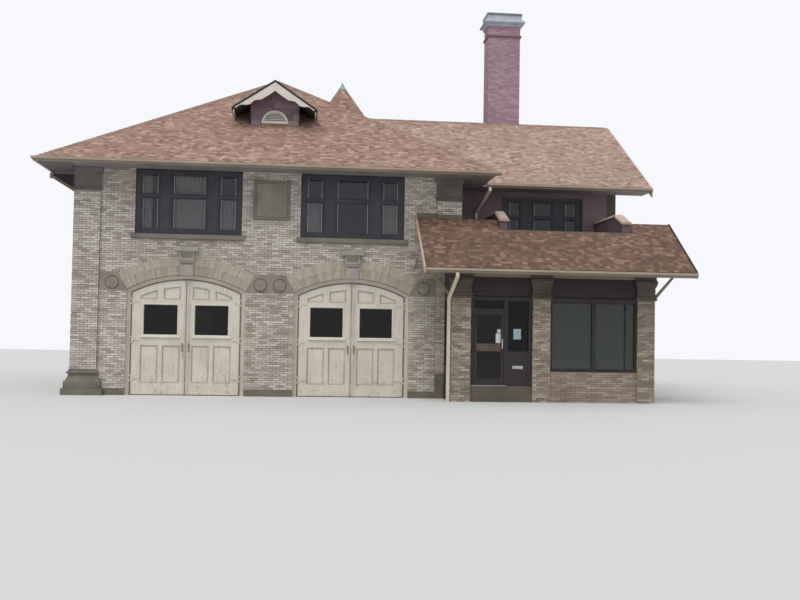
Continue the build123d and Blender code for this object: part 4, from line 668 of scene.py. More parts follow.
def shingle_slope(corner, along, rise, length, limits, rng, lift=0.004):
    """Tabs up a slope, each foot on the course below; limits(s) gives the free runs at a distance up."""
    exposure, thick = 0.127, 0.008
    turn = plane_frame(along, rise) @ Matrix.Rotation(-math.atan2(thick * 0.8, exposure), 3, "X")
    o, u_dir, w_dir = Vector(corner), Vector(along).normalized(), Vector(rise).normalized()
    normal = u_dir.cross(w_dir)
    units = []
    row = 0
    while row * exposure < length - 0.02:
        s = row * exposure
        high = min(exposure + 0.02, length - s)
        for a, b in limits(s + exposure / 2):
            at = a
            k = 0
            while at < b - 0.01:
                wide = min(rng.uniform(0.10, 0.20), b - at)
                if b - at - wide < 0.06:
                    wide = b - at
                centre = o + u_dir * (at + wide / 2) + w_dir * (s + high / 2) + normal * lift
                units.append((centre, turn, (wide, high, thick), row * 1009 + k))
                at += wide
                k += 1
        row += 1
    return units


# Main roof: both hipped ends, then the long slopes, the right one broken by the wing's roof
SLOPE_LEN = math.hypot(1, PITCH)
HIP_RUN = EAVE_X * SLOPE_LEN
rng = random.Random(20)


def hip_end(s):
    """Free run of a hipped end at a distance up its slope."""
    return [(s / SLOPE_LEN, 2 * EAVE_X - s / SLOPE_LEN)]


def long_slope(s):
    """Free run of the left slope."""
    return [(s / SLOPE_LEN, 2 * EAVE_Y - s / SLOPE_LEN)]


def right_slope(s):
    """Free runs of the right slope beside the wing roof."""
    d = s / SLOPE_LEN
    a, b = WING_EAVE0 + EAVE_Y + d, WING_EAVE1 + EAVE_Y - d
    return long_slope(s) if a >= b else [(d, a), (b, 2 * EAVE_Y - d)]


ends = shingle_slope((-EAVE_X, -EAVE_Y, EAVE_Z), (1, 0, 0), (0, 1, PITCH), HIP_RUN, hip_end, rng)
ends += shingle_slope((EAVE_X, EAVE_Y, EAVE_Z), (-1, 0, 0), (0, -1, PITCH), HIP_RUN, hip_end, rng)
sides = shingle_slope((-EAVE_X, EAVE_Y, EAVE_Z), (0, -1, 0), (1, 0, PITCH), HIP_RUN, long_slope, rng)
sides += shingle_slope((EAVE_X, -EAVE_Y, EAVE_Z), (0, 1, 0), (-1, 0, PITCH), HIP_RUN, right_slope, rng)
lay("front_and_back_shingles", ends, SHINGLE, 0.0015, 21)
lay("side_shingles", sides, SHINGLE, 0.0015, 22)

# Wing roof, from the valleys to the gable
wing_run = (WING_RIDGE_Y - WING_EAVE0) * SLOPE_LEN
tabs = shingle_slope((0, WING_EAVE0, EAVE_Z), (1, 0, 0), (0, 1, PITCH), wing_run,
                     lambda s: [(EAVE_X - s / SLOPE_LEN, WING_ROOF_X1)], rng)
tabs += shingle_slope((0, WING_EAVE1, EAVE_Z), (-1, 0, 0), (0, -1, PITCH), wing_run,
                      lambda s: [(-WING_ROOF_X1, -(EAVE_X - s / SLOPE_LEN))], rng)
lay("wing_shingles", tabs, WING_SHINGLE, 0.0015, 23)

pent_rise = Vector((0, PENT_HIGH[0] - PENT_LOW[0], PENT_HIGH[1] - PENT_LOW[1]))
well_s = (WELL_Z - PENT_LOW[1]) / pent_rise.z * pent_rise.length


def pent_runs(s):
    """Free runs of the pent roof, beside its notch higher up."""
    width = PENT_X[1] - PENT_X[0]
    if s + 0.06 < well_s:
        return [(0.0, width)]
    return [(0.0, WELL_X[0] - CHEEK - PENT_X[0]), (WELL_X[1] + CHEEK - PENT_X[0], width)]


tabs = shingle_slope((PENT_X[0], *PENT_LOW), (1, 0, 0), pent_rise, pent_rise.length, pent_runs, rng)
lay("pent_shingles", tabs, PENT_SHINGLE, 0.0015, 24)

TOWER_RUN = TOWER_HALF + 0.30
TOWER_PITCH = (TOWER_APEX - TOWER_EAVE) / TOWER_RUN
tower_slope = math.hypot(1, TOWER_PITCH)
tabs = []
for start, along, width in four_sides(tx - TOWER_RUN, tx + TOWER_RUN, ty - TOWER_RUN, ty + TOWER_RUN):
    tabs += shingle_slope((*start, TOWER_EAVE), (*along, 0), (-along[1], along[0], TOWER_PITCH),
                          (CAP_Z - TOWER_EAVE) / TOWER_PITCH * tower_slope,
                          lambda s: [(s / tower_slope, 2 * TOWER_RUN - s / tower_slope)], rng)
lay("tower_shingles", tabs, SHINGLE, 0.001, 25)

dormer_len = DORMER_EAVE * math.hypot(1, DORMER_PITCH)
DORMER_LOW = DORMER_RIDGE - DORMER_PITCH * DORMER_EAVE


def dormer_run(s):
    """Length of a dormer slope at a distance up it, back to where it dies into the main roof."""
    z = DORMER_LOW + s / dormer_len * (DORMER_RIDGE - DORMER_LOW)
    return (z - EAVE_Z) / PITCH - EAVE_Y - DORMER_FRONT


tabs = shingle_slope((DORMER_EAVE, DORMER_FRONT, DORMER_LOW), (0, 1, 0), (-1, 0, DORMER_PITCH), dormer_len,
                     lambda s: [(0.0, dormer_run(s))], rng, lift=0.003)
tabs += shingle_slope((-DORMER_EAVE, DORMER_FRONT, DORMER_LOW), (0, -1, 0), (1, 0, DORMER_PITCH), dormer_len,
                      lambda s: [(-dormer_run(s), 0.0)], rng, lift=0.003)
lay("dormer_shingles", tabs, SHINGLE, 0.001, 26)


def finish_mesh(name, bm, finish, body="station"):
    """Turn a bmesh into a piece with outward faces, riding on a body."""
    bmesh.ops.recalc_face_normals(bm, faces=bm.faces)
    mesh = bpy.data.meshes.new(name)
    bm.to_mesh(mesh)
    bm.free()
    for p in mesh.polygons:
        p.use_smooth = False
    mesh.materials.append(finish)
    return ride_as(name, mesh, body)


def add_box(bm, x0, x1, y0, y1, z0, z1):
    """A box between its corners; returns its new edges."""
    place = Matrix.Translation(((x0 + x1) / 2, (y0 + y1) / 2, (z0 + z1) / 2))
    size = Matrix.Diagonal((abs(x1 - x0), abs(y1 - y0), abs(z1 - z0), 1))
    made = bmesh.ops.create_cube(bm, size=1.0, matrix=place @ size)
    return list({e for v in made["verts"] for e in v.link_edges})


def boxes(name, spots, finish, body="station", edge=0.003):
    """Several plain bars with softened edges, each given by its corners."""
    bm = bmesh.new()
    for spot in spots:
        add_box(bm, *spot)
    bmesh.ops.bevel(bm, geom=bm.edges[:], offset=edge, segments=2, affect="EDGES", clamp_overlap=True)
    return finish_mesh(name, bm, finish, body)


def join_rings(bm, rings):
    """Faces between each ring of points and the next."""
    for r, q in zip(rings, rings[1:]):
        for j in range(len(r)):
            k = (j + 1) % len(r)
            bm.faces.new((r[j], r[k], q[k], q[j]))


def close_ends(bm, rings):
    """Faces over the first and the last ring."""
    bm.faces.new(rings[0])
    bm.faces.new(rings[-1][::-1])


def run_profile(bm, path, profile, normal=UP, closed=False):
    """Run a closed profile of (aside, along normal) points round a flat path with mitred corners."""
    n = Vector(normal)
    points = [Vector(p) for p in path]
    count = len(points)
    rings = []
    for i, p in enumerate(points):
        before = p - points[i - 1] if closed or i else points[1] - points[0]
        after = points[(i + 1) % count] - p if closed or i < count - 1 else before
        s1, s2 = n.cross(before.normalized()), n.cross(after.normalized())
        mitre = (s1 + s2).normalized()
        mitre /= max(mitre.dot(s1), 0.3)
        rings.append([bm.verts.new(p + mitre * a + n * b) for a, b in profile])
    join_rings(bm, rings + rings[:1] if closed else rings)
    if not closed:
        close_ends(bm, rings)


def moulding(name, paths, profile, finish, normal=UP, body="station", closed=False):
    """Lengths of one moulding along several flat paths."""
    bm = bmesh.new()
    for path in paths:
        run_profile(bm, path, profile, normal, closed)
    return finish_mesh(name, bm, finish, body)


def curve_points(centre, radius, a0, a1, steps):
    """Points of an arc in degrees, as (aside, height) pairs."""
    turns = [math.radians(a0 + (a1 - a0) * i / steps) for i in range(steps + 1)]
    return [(centre[0] + radius * math.cos(t), centre[1] + radius * math.sin(t)) for t in turns]


def upright(x0, x1, z0, z1, y):
    """Corners of an upright rectangle facing the front, going round from its lower left."""
    return [(x0, y, z0), (x1, y, z0), (x1, y, z1), (x0, y, z1)]


def raised(profile, z):
    """A profile lifted to a height."""
    return [(a, b + z) for a, b in profile]


def corner_path(sx, sy):
    """Plan outline of a corner pier, from wall to wall, with its outside on the left hand."""
    face_y, end_y = sy * (BACK + PIER_PROUD), sy * (BACK + PIER_PROUD - PIER_W)
    path = [(sx * PIER_IN, sy * BACK, 0), (sx * PIER_IN, face_y, 0), (sx * PIER_OUT, face_y, 0),
            (sx * PIER_OUT, end_y, 0), (sx * HOUSE, end_y, 0)]
    return path if sx * sy > 0 else path[::-1]


# Stone bases: two blocks, a hollow slope, a waist and a half-round moulding
BASE_PROFILE = ([(-0.05, 0.0), (0.205, 0.0), (0.205, 0.178), (0.195, 0.185), (0.145, 0.185), (0.145, 0.375),
                 (0.138, 0.385)] +
                [(0.130 - 0.105 * t ** 0.6, 0.40 + 0.17 * t) for t in (0.0, 0.15, 0.3, 0.5, 0.7, 0.85, 1.0)] +
                [(0.025, 0.595)] + curve_points((0.030, 0.645), 0.045, -88, 88, 8) +
                [(0.028, 0.705), (0.012, 0.715), (0.012, 0.745), (-0.05, 0.745)])
bases = moulding("moulded_pier_bases", [corner_path(-1, -1), corner_path(-1, 1), corner_path(1, 1)],
                 BASE_PROFILE, BASE_STONE)
boxes("plain_pier_foot", [(PIER_IN, PIER_OUT, FRONT - PIER_PROUD, FRONT, 0.0, SHAFT_Z[0]),
                          (HOUSE, PIER_OUT, FRONT, FRONT + PIER_W - PIER_PROUD, 0.0, SHAFT_Z[0])], BASE_STONE)
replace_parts(bases, "pier_bases")

# Stone capitals: a neck moulding, a plain block and a small cove below the soffit
CAPITAL_PROFILE = ([(-0.05, 5.921), (0.010, 5.921), (0.012, 5.945)] +
                   curve_points((0.014, 5.975), 0.028, -80, 80, 6) +
                   [(0.030, 6.012), (0.030, 6.035), (0.022, 6.05), (0.010, 6.07), (0.008, 6.43),
                    (0.030, 6.435), (0.032, 6.475), (0.040, 6.48)] +
                   [(0.064 - 0.024 * math.cos(math.radians(a)), 6.485 + 0.060 * math.sin(math.radians(a)))
                    for a in (0, 20, 40, 60, 80, 90)] + [(0.064, WALL_TOP), (-0.05, WALL_TOP)])
capitals = moulding("moulded_pier_capitals", [corner_path(sx, sy) for sx in (-1, 1) for sy in (-1, 1)],
                    CAPITAL_PROFILE, CAPITAL_STONE)
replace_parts(capitals, "pier_capitals")

# Keystones: a plain tapering body with a row of drops dark as painted shade, a block with a sunk square, and
# a moulded cap
KEY_SECTIONS = ((3.517, 0.183, 0.084), (3.565, 0.186, 0.084), (3.575, 0.180, 0.072), (3.885, 0.195, 0.072),
                (3.900, 0.205, 0.085), (3.96, 0.205, 0.085))
bm = bmesh.new()
drops, caps = [], []
for cx in (-DOOR_X, DOOR_X):
    rings = [[bm.verts.new((cx + x, FRONT + y, z))
              for x, y in ((-half, 0.0), (-half, -out), (half, -out), (half, 0.0))]
             for z, half, out in KEY_SECTIONS]
    join_rings(bm, rings)
    close_ends(bm, rings)
    run_profile(bm, upright(cx - 0.145, cx + 0.145, 4.035, 4.175, FRONT),
                [(0.0, 0.0), (0.0, 0.070), (-0.012, 0.110), (-0.0755, 0.110), (-0.0755, 0.0)], OUT,
                closed=True)
    run_profile(bm, upright(cx - 0.13, cx + 0.13, 4.05, 4.16, FRONT),
                [(0.05, 0.0), (0.05, 0.062), (-0.03, 0.062), (-0.03, 0.0)], OUT, closed=True)
    run_profile(bm, [(cx - 0.22, FRONT, 0), (cx - 0.22, FRONT - 0.11, 0), (cx + 0.22, FRONT - 0.11, 0),
                     (cx + 0.22, FRONT, 0)],
                [(-0.10, 4.225), (0.0, 4.225), (0.004, 4.245), (0.018, 4.262), (0.022, 4.285), (0.038, 4.300),
                 (0.040, 4.355), (-0.10, 4.355)])
    drops += [(cx + x - 0.017, cx + x + 0.017, FRONT - 0.083, FRONT - 0.060, 3.835, 3.888)
              for x in (-0.15, -0.09, -0.03, 0.03, 0.09, 0.15)]
    caps += [(cx - 0.31, cx + 0.31, FRONT - 0.15, FRONT, 4.298, 4.360),
             (cx - 0.07, cx + 0.07, FRONT - 0.098, FRONT, 4.085, 4.112)]
keys = finish_mesh("plain_keystones", bm, KEY_STONE)
boxes("keystone_drops", drops, JOINT_AND_SHADE_STONE, edge=0.004)
boxes("keystone_caps", caps, KEY_STONE, edge=0.006)
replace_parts(keys, "keystones")

# Raised rims round the discs of the spandrel stones, dark as painted shadow, and a bead under the front edge
# of each sill
disc = curve_points((0, 3.28), 0.18, 0, 351, 39)
moulding("spandrel_disc_rims",
         [[(cx + x, FRONT - 0.025, z) for x, z in disc] for cx in (-4.56, -0.285, 0.285, 4.56)],
         [(-0.012, 0.0), (-0.012, 0.020), (-0.004, 0.026), (0.006, 0.024), (0.010, 0.0)], JOINT_AND_SHADE_STONE, OUT,
         closed=True)
boxes("sill_beads", [(cx - 1.64, cx + 1.64, FRONT - 0.05, FRONT, 4.565, 4.592)
                     for cx in (-WINDOW_X, WINDOW_X)],
      SILL_STONE, edge=0.008)

# Plaque: a raised moulded rim between a dark joint outside and a dark line inside that is painted shade, its
# field left plain
for name, path, profile, finish in (
        ("plaque_rim", upright(-0.46, 0.46, 5.29, 6.30, FRONT),
         [(0.0, 0.03), (0.0, 0.038), (-0.015, 0.053), (-0.0595, 0.053), (-0.0595, 0.03)], SILL_STONE),
        ("plaque_joint", upright(-0.52, 0.52, 5.23, 6.36, FRONT),
         [(0.002, 0.0), (0.002, 0.040), (-0.010, 0.040), (-0.010, 0.0)], JOINT_AND_SHADE_STONE),
        ("plaque_inner_line", upright(-0.46, 0.46, 5.29, 6.30, FRONT),
         [(0.001, 0.030), (0.001, 0.0365), (0.014, 0.0345), (0.014, 0.030)], JOINT_AND_SHADE_STONE)):
    moulding(name, [path], profile, finish, OUT, closed=True)


def window_trim(panes, rows, along, centre, half, z0, z1, dark, light):
    """Sashes, tracks, posts and boards of one window; panes gives their edges along it from its middle."""
    x = Vector(along)
    n = x.cross(Vector(UP))
    o = Vector((*centre, 0))

    def bar(bm, a, b, lo, hi, back, front):
        p, q = o + x * a + n * back, o + x * b + n * front
        edges = add_box(bm, p.x, q.x, p.y, q.y, lo, hi)
        bmesh.ops.bevel(bm, geom=edges, offset=0.004, segments=1, affect="EDGES", clamp_overlap=True)

    for a, b in panes:
        for (lo, hi), top in zip(rows, (-0.030, -0.016)):
            path = [o + x * u + Vector((0, 0, v)) for u, v in ((a, lo), (b, lo), (b, hi), (a, hi))]
            run_profile(dark, path, [(-0.003, -0.056), (-0.003, top), (0.032, top), (0.040, top - 0.010),
                                     (0.040, -0.056)], n, closed=True)
            for u in (a + 0.052, b - 0.052):
                bar(light, u - 0.010, u + 0.010, lo + 0.038, hi - 0.038, -0.055, top - 0.012)
        bar(dark, a - 0.02, b + 0.02, rows[0][1] - 0.012, rows[1][0] + 0.012, -0.02, 0.010)
    for (_, a), (b, _) in zip(panes, panes[1:]):
        bar(dark, a + 0.05, b - 0.05, z0, z1, -0.01, 0.012)
        for u in (a + 0.018, b - 0.018):
            bar(dark, u - 0.012, u + 0.012, z0, z1, -0.01, 0.008)
    for lo, hi in ((z0, rows[0][0] - 0.02), (rows[1][1] + 0.02, z1)):
        bar(dark, -half + 0.012, half - 0.012, lo, hi, -0.01, 0.014)
    for a, b in ((-half + 0.012, -half + 0.115), (half - 0.115, half - 0.012)):
        bar(dark, a, b, z0, z1, -0.01, 0.016)


UPPER_X = 8.75
UPPER_HALF = 1.30
dark, light = bmesh.new(), bmesh.new()
for cx in (-WINDOW_X, WINDOW_X):
    window_trim(((-1.39, -0.872), (-0.5, 0.5), (0.872, 1.39)), ((4.86, 5.82), (5.88, 6.51)), (1, 0, 0),
                (cx, FRONT + 0.09), WINDOW_HALF, SILL, WALL_TOP, dark, light)
window_trim(((-1.12, -0.75), (-0.3, 0.3), (0.75, 1.12)), ((5.37, 5.77), (5.83, 6.32)), (1, 0, 0),
            (UPPER_X, WING_UPPER + 0.04), UPPER_HALF, 5.26, 6.40, dark, light)
for z0, z1 in SINGLE_Z:
    mid = (z0 + z1) / 2
    rows = ((z0 + 0.09, mid - 0.03), (mid + 0.03, z1 - 0.09))
    for along, centre in ([((0, -1, 0), (-HOUSE + 0.09, y)) for y in SIDE_Y] +
                          [((-1, 0, 0), (x, BACK - 0.09)) for x in BACK_X]):
        window_trim(((-0.47, 0.47),), rows, along, centre, SINGLE_HALF, z0, z1, dark, light)
finish_mesh("window_sashes", dark, FRAME)
finish_mesh("storm_window_tracks", light, TRACK)


def curtain(name, x0, x1, y, z0, z1, pleats):
    """One pleated curtain as a single sheet of cloth."""
    depth = 0.022
    count = pleats * 8
    line = []
    for i in range(count + 1):
        t = i / count
        phase = math.tau * pleats * t + 0.7 * math.sin(5.1 * t + x0)
        line.append((x0 + (x1 - x0) * t, y + depth * math.sin(phase)))
    bm = bmesh.new()
    low = [bm.verts.new((a, b, z0)) for a, b in line]
    high = [bm.verts.new((a, y + (b - y) * 0.8, z1)) for a, b in line]
    for i in range(count):
        bm.faces.new((low[i], low[i + 1], high[i + 1], high[i]))
    mesh = bpy.data.meshes.new(name)
    bm.to_mesh(mesh)
    bm.free()
    for p in mesh.polygons:
        p.use_smooth = True
    mesh.materials.append(CURTAIN)
    piece = ride_as(name, mesh, "station")


# Curtains behind the front windows, some drawn and some in the lower half only
for name, cx, x0, x1, top, pleats in (("left_window_middle_curtain", -WINDOW_X, -0.43, 0.43, 6.55, 11),
                                      ("left_window_outer_curtain", -WINDOW_X, -1.37, -1.10, 6.55, 3),
                                      ("left_window_inner_curtain", -WINDOW_X, 0.92, 1.37, 5.86, 6),
                                      ("right_window_outer_curtain", WINDOW_X, -1.37, -0.90, 5.86, 6),
                                      ("right_window_inner_curtain", WINDOW_X, 0.90, 1.37, 5.86, 6)):
    curtain(name, cx + x0, cx + x1, FRONT + 0.26, 4.80, top, pleats)
# Drawn curtains upstairs at the back, which also keep the sky out of the view through the house
for place, x in zip(("left", "middle", "right"), BACK_X):
    curtain(f"back_{place}_window_curtain", x - 0.54, x + 0.54, BACK - 0.28, 4.78, 6.56, 9)

# Vehicle door leaves: beads of the panels and the glass, meeting strips, rails, straps and pulls
LEAF_Y = FRONT + REVEAL
LEAF_HALF = DOOR_HALF - CASING - 0.008
LEAF_R = DOOR_R - CASING - 0.008
PANEL_HEAD = LEAF_R - 0.185
GLASS_X = (0.240, LEAF_HALF - 0.320)
GLASS_Z = (1.76, 2.66)
LOW_X = ((0.180, 0.662), (0.812, 1.294))
LOW_Z = (0.39, 1.45)
TOP_X = ((0.184, 0.6495), (0.8495, 1.315))
TOP_Z = 2.825
BEAD = [(-0.014, -0.003), (-0.014, 0.006), (-0.006, 0.011), (0.002, 0.007), (0.009, -0.004), (0.020, -0.011),
        (0.030, -0.0215), (0.0, -0.0225)]
GLASS_BEAD = [(-0.022, -0.003), (-0.022, 0.008), (-0.010, 0.013), (0.002, 0.006), (0.012, -0.010),
              (0.016, -0.025), (-0.003, -0.025)]
LEDGE = [(-0.02, 1.752), (0.018, 1.752), (0.020, 1.744), (0.016, 1.726), (0.006, 1.718), (0.004, 1.700),
         (-0.004, 1.690), (-0.02, 1.690)]


def leaf_pieces(name, cx, side):
    """Everything on one leaf; distances run from the doorway's middle, so both leaves mirror each other."""
    def facing(outline):
        path = [(cx + side * x, y, z) for x, y, z in outline]
        return path if side > 0 else path[::-1]

    def bars(part, finish, x0, x1, out, back, heights, edge):
        near, far = sorted((cx + side * x0, cx + side * x1))
        boxes(f"{name}_{part}", [(near, far, LEAF_Y - out, LEAF_Y + back, z0, z1) for z0, z1 in heights],
              finish, body=name, edge=edge)

    bm = bmesh.new()
    for x0, x1 in LOW_X:
        run_profile(bm, facing(upright(x0, x1, *LOW_Z, LEAF_Y)), BEAD, OUT, closed=True)
    for x0, x1 in TOP_X:
        arc = [(x, LEAF_Y, DOOR_ARC_Z + math.sqrt(PANEL_HEAD ** 2 - x ** 2))
               for x in (x1 + (x0 - x1) * i / 8 for i in range(9))]
        run_profile(bm, facing([(x0, LEAF_Y, TOP_Z), (x1, LEAF_Y, TOP_Z)] + arc), BEAD, OUT, closed=True)
    finish_mesh(name + "_panel_beads", bm, PANEL_BEAD, body=name)
    bm = bmesh.new()
    x0, x1 = GLASS_X
    run_profile(bm, facing(upright(x0, x1, *GLASS_Z, LEAF_Y)), GLASS_BEAD, OUT, closed=True)
    run_profile(bm, facing([(x0 - 0.05, LEAF_Y, 0), (x0 - 0.05, LEAF_Y - 0.03, 0),
                            (x1 + 0.05, LEAF_Y - 0.03, 0), (x1 + 0.05, LEAF_Y, 0)]), LEDGE)
    finish_mesh(name + "_mouldings", bm, BRIGHT_BEAD, body=name)
    strip = 0.052 if side < 0 else 0.118
    bars("meeting_strip", STRIP, 0.010, strip, 0.014, 0.004, [(0.03, 3.34)], 0.004)
    bars("rails", CREAM, strip, LEAF_HALF - 0.01, 0.012, 0.004, [(0.03, 0.20)], 0.004)
    bars("strap_hinges", CREAM, LEAF_HALF - 0.02, LEAF_HALF - 0.20, 0.025, 0.001,
         [(z - 0.018, z + 0.018) for z in (0.50, 1.62, 2.74)], 0.003)
    bars("pull_grip", IRON, 0.078, 0.112, 0.0575, -0.033, [(1.268, 1.532)], 0.005)


for doorway, cx in (("left", -DOOR_X), ("right", DOOR_X)):
    leaf_pieces(doorway + "_door_leaf_a", cx, -1)
    leaf_pieces(doorway + "_door_leaf_b", cx, 1)


def arch_path(cx, inset):
    """Path up one side of a doorway, over its arch and down the other, its outside on the left hand."""
    half, radius = DOOR_HALF - inset, DOOR_R - inset
    fan = math.asin(half / radius)
    turns = [-fan + 2 * fan * i / 28 for i in range(29)]
    arc = [(cx + radius * math.sin(t), FRONT, DOOR_ARC_Z + radius * math.cos(t)) for t in turns]
    return ([(cx - half, FRONT, 0.0)] + arc + [(cx + half, FRONT, 0.0)])[::-1]


# Casings: a raised band along the outer edge and a dark bead along the inner one, painted shadow of the
# rebate
moulding("casing_mouldings", [arch_path(cx, 0.0) for cx in (-DOOR_X, DOOR_X)],
         [(0.002, -0.10), (0.002, -0.060), (0.012, -0.056), (0.045, -0.056), (0.052, -0.066), (0.060, -0.072),
          (0.066, -0.086), (0.074, -0.10)], CASING_PAINT, OUT)
moulding("casing_rebate_beads", [arch_path(cx, CASING - 0.036) for cx in (-DOOR_X, DOOR_X)],
         [(0.0, -0.10), (0.0, -0.092), (0.010, -0.086), (0.026, -0.086), (0.034, -0.10)], REBATE_SHADOW, OUT)

# Gutters: folded sheet with an ogee front and a rolled lip, in lengths joined by sleeves
OGEE = [(0.0, -0.125), (0.074, -0.125), (0.080, -0.108), (0.094, -0.090), (0.114, -0.076), (0.124, -0.062),
        (0.126, -0.004), (0.112, 0.0)]
HOLLOW = [(0.108, -0.006), (0.120, -0.010), (0.118, -0.060), (0.110, -0.072), (0.090, -0.085),
          (0.074, -0.104), (0.070, -0.119), (0.004, -0.119), (0.004, 0.0), (0.0, 0.0)]
SLEEVE = [(a + (0.003 if a > 0.05 else 0.0), b - (0.003 if b < -0.12 else 0.0)) for a, b in OGEE] + OGEE[::-1]
DRIP = [(-0.02, -0.004), (0.012, -0.012), (0.014, -0.030), (0.010, -0.030), (0.008, -0.016), (-0.02, -0.010)]
SHEET_LENGTH = 3.05


def gutter_run(bm, path, top):
    """Run a gutter along the edge of an eaves board, its outside on the left hand."""
    run_profile(bm, path, raised(OGEE + HOLLOW, top))
    path = [Vector(p) for p in path]
    for p, q in zip(path, path[1:]):
        step = (q - p).normalized()
        count = int((q - p).length / SHEET_LENGTH)
        for i in range(1, count + 1):
            at = p + (q - p) * (i / (count + 1))
            run_profile(bm, [at - step * 0.018, at + step * 0.018], raised(SLEEVE, top))
    for cap in ([path[0], path[0] + (path[1] - path[0]).normalized() * 0.004],
                [path[-1] + (path[-2] - path[-1]).normalized() * 0.004, path[-1]]):
        run_profile(bm, cap, raised(OGEE + [(0.0, 0.0)], top))


bm = bmesh.new()
side_end = EAVE_X + 0.13
gutter_run(bm, [(side_end, -EAVE_Y, 0), (-EAVE_X, -EAVE_Y, 0), (-EAVE_X, EAVE_Y, 0), (side_end, EAVE_Y, 0)],
           EAVE_Z - 0.015)
gutter_run(bm, [(WING_ROOF_X1, WING_EAVE0, 0), (side_end + 0.02, WING_EAVE0, 0)], EAVE_Z - 0.015)
gutter_run(bm, [(side_end + 0.02, WING_EAVE1, 0), (WING_ROOF_X1, WING_EAVE1, 0)], EAVE_Z - 0.015)
gutter_run(bm, [(PENT_X[1], PENT_LOW[0] - 0.03, 0), (PENT_X[0], PENT_LOW[0] - 0.03, 0)], PENT_LOW[1] - 0.02)
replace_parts(finish_mesh("ogee_gutters", bm, GUTTER), "gutters")

# Metal drip edges along the eaves, under the first course of shingles
bm = bmesh.new()
for path, top in (([(EAVE_X - 0.01, -EAVE_Y, 0), (-EAVE_X, -EAVE_Y, 0), (-EAVE_X, EAVE_Y, 0),
                    (EAVE_X - 0.01, EAVE_Y, 0)], EAVE_Z),
                  ([(WING_ROOF_X1, WING_EAVE0, 0), (EAVE_X, WING_EAVE0, 0)], EAVE_Z),
                  ([(EAVE_X, WING_EAVE1, 0), (WING_ROOF_X1, WING_EAVE1, 0)], EAVE_Z),
                  ([(PENT_X[1], PENT_LOW[0], 0), (PENT_X[0], PENT_LOW[0], 0)], PENT_LOW[1])):
    run_profile(bm, path, raised(DRIP, top + 0.010))
finish_mesh("eaves_drip_edges", bm, EDGE)


def cap_units(rng, low, high, falls, half=0.15, lift=0.012):
    """Folded cap shingles up a line, with a flap on the slope beside it for each direction in falls."""
    exposure = 0.14
    p, q = Vector(low), Vector(high)
    step = (q - p).normalized()
    units = []
    for i in range(int((q - p).length / exposure)):
        at = p + step * (exposure * (i + 0.5))
        cell = rng.randrange(1, 10 ** 6)
        for side in falls:
            across = Vector(side)
            across = (across - step * across.dot(step)).normalized()
            x = step if step.cross(across).z >= 0 else -step
            lean = math.atan2(0.010, exposure) * (1 if x.dot(step) > 0 else -1)
            turn = plane_frame(x, across) @ Matrix.Rotation(lean, 3, "Y")
            centre = at + across * (half / 2) + turn.col[2] * lift
            units.append((centre, turn, (exposure + 0.03, half, 0.007), cell))
    return units


rng = random.Random(31)
caps = []
peaks = [(0, -(EAVE_Y - EAVE_X), RIDGE_Z), (0, EAVE_Y - EAVE_X, RIDGE_Z)]
for sx in (-1, 1):
    for sy, peak in zip((-1, 1), peaks):
        caps += cap_units(rng, (sx * EAVE_X, sy * EAVE_Y, EAVE_Z), peak, ((sx, 0, -PITCH), (0, sy, -PITCH)))
caps += cap_units(rng, *peaks, ((-1, 0, -PITCH), (1, 0, -PITCH)))
caps += cap_units(rng, (EAVE_X - (WING_RIDGE_Z - EAVE_Z) / PITCH, WING_RIDGE_Y, WING_RIDGE_Z),
                  (WING_ROOF_X1, WING_RIDGE_Y, WING_RIDGE_Z), ((0, -1, -PITCH), (0, 1, -PITCH)))
caps += cap_units(rng, (0, DORMER_FRONT, DORMER_RIDGE),
                  (0, (DORMER_RIDGE - EAVE_Z) / PITCH - EAVE_Y, DORMER_RIDGE),
                  ((-1, 0, -DORMER_PITCH), (1, 0, -DORMER_PITCH)), half=0.12, lift=0.010)
lay("hip_and_ridge_caps", caps, CAPS, 0.001, 32)
caps = []
left_over = 1 - (CAP_Z - TOWER_EAVE) / (TOWER_APEX - TOWER_EAVE)
for sx in (-1, 1):
    for sy in (-1, 1):
        caps += cap_units(rng, (tx + sx * TOWER_RUN, ty + sy * TOWER_RUN, TOWER_EAVE),
                          (tx + sx * TOWER_RUN * left_over, ty + sy * TOWER_RUN * left_over, CAP_Z),
                          ((sx, 0, -TOWER_PITCH), (0, sy, -TOWER_PITCH)), half=0.11)
lay("tower_hip_caps", caps, CAPS, 0.001, 33)


def wall_shingles(origin, along, z1, free_runs, rng):
    """Courses of wide shingles on an upright dormer wall, each course cut in strips that thin upwards."""
    exposure, strips = 0.185, 4
    turn = plane_frame(along, UP)
    o, u_dir = Vector(origin), Vector(along).normalized()
    units = []
    low = DORMER_FOOT
    row = 0
    while low < z1 - 0.01:
        wide = max((b for _, b in free_runs(low)), default=0.0)
        marks, at = [], min((a for a, _ in free_runs(low)), default=0.0)
        while at < wide:
            marks.append((at, at + rng.uniform(0.20, 0.42), rng.randrange(1, 10 ** 6)))
            at = marks[-1][1] + 0.004
        for s in range(strips):
            lo, hi = low + exposure * s / strips, min(low + exposure * (s + 1) / strips, z1)
            if hi - lo < 0.004:
                continue
            thick = 0.030 - 0.020 * s / strips
            strip = o + Vector((0, 0, (lo + hi) / 2)) + turn.col[2] * (thick / 2)
            for a, b in free_runs((lo + hi) / 2):
                for p, q, cell in marks:
                    p, q = max(p, a), min(q, b)
                    if q - p > 0.012:
                        units.append((strip + u_dir * ((p + q) / 2), turn, (q - p, hi - lo, thick), cell))
        row += 1
        low = DORMER_FOOT + row * exposure
    return units


def face_runs(z):
    """Free runs of the dormer's face beside its half-round vent."""
    half = min(DORMER_HALF, (DORMER_WALL_RIDGE - z) / DORMER_PITCH - 0.01)
    mid = DORMER_HALF
    if VENT_Z - 0.06 < z < VENT_Z + 0.40:
        hole = math.sqrt(max(0.40 ** 2 - max(z - VENT_Z, 0.0) ** 2, 0.0))
        return [(mid - half, mid - hole), (mid + hole, mid + half)]
    return [(mid - half, mid + half)] if half > 0.02 else []


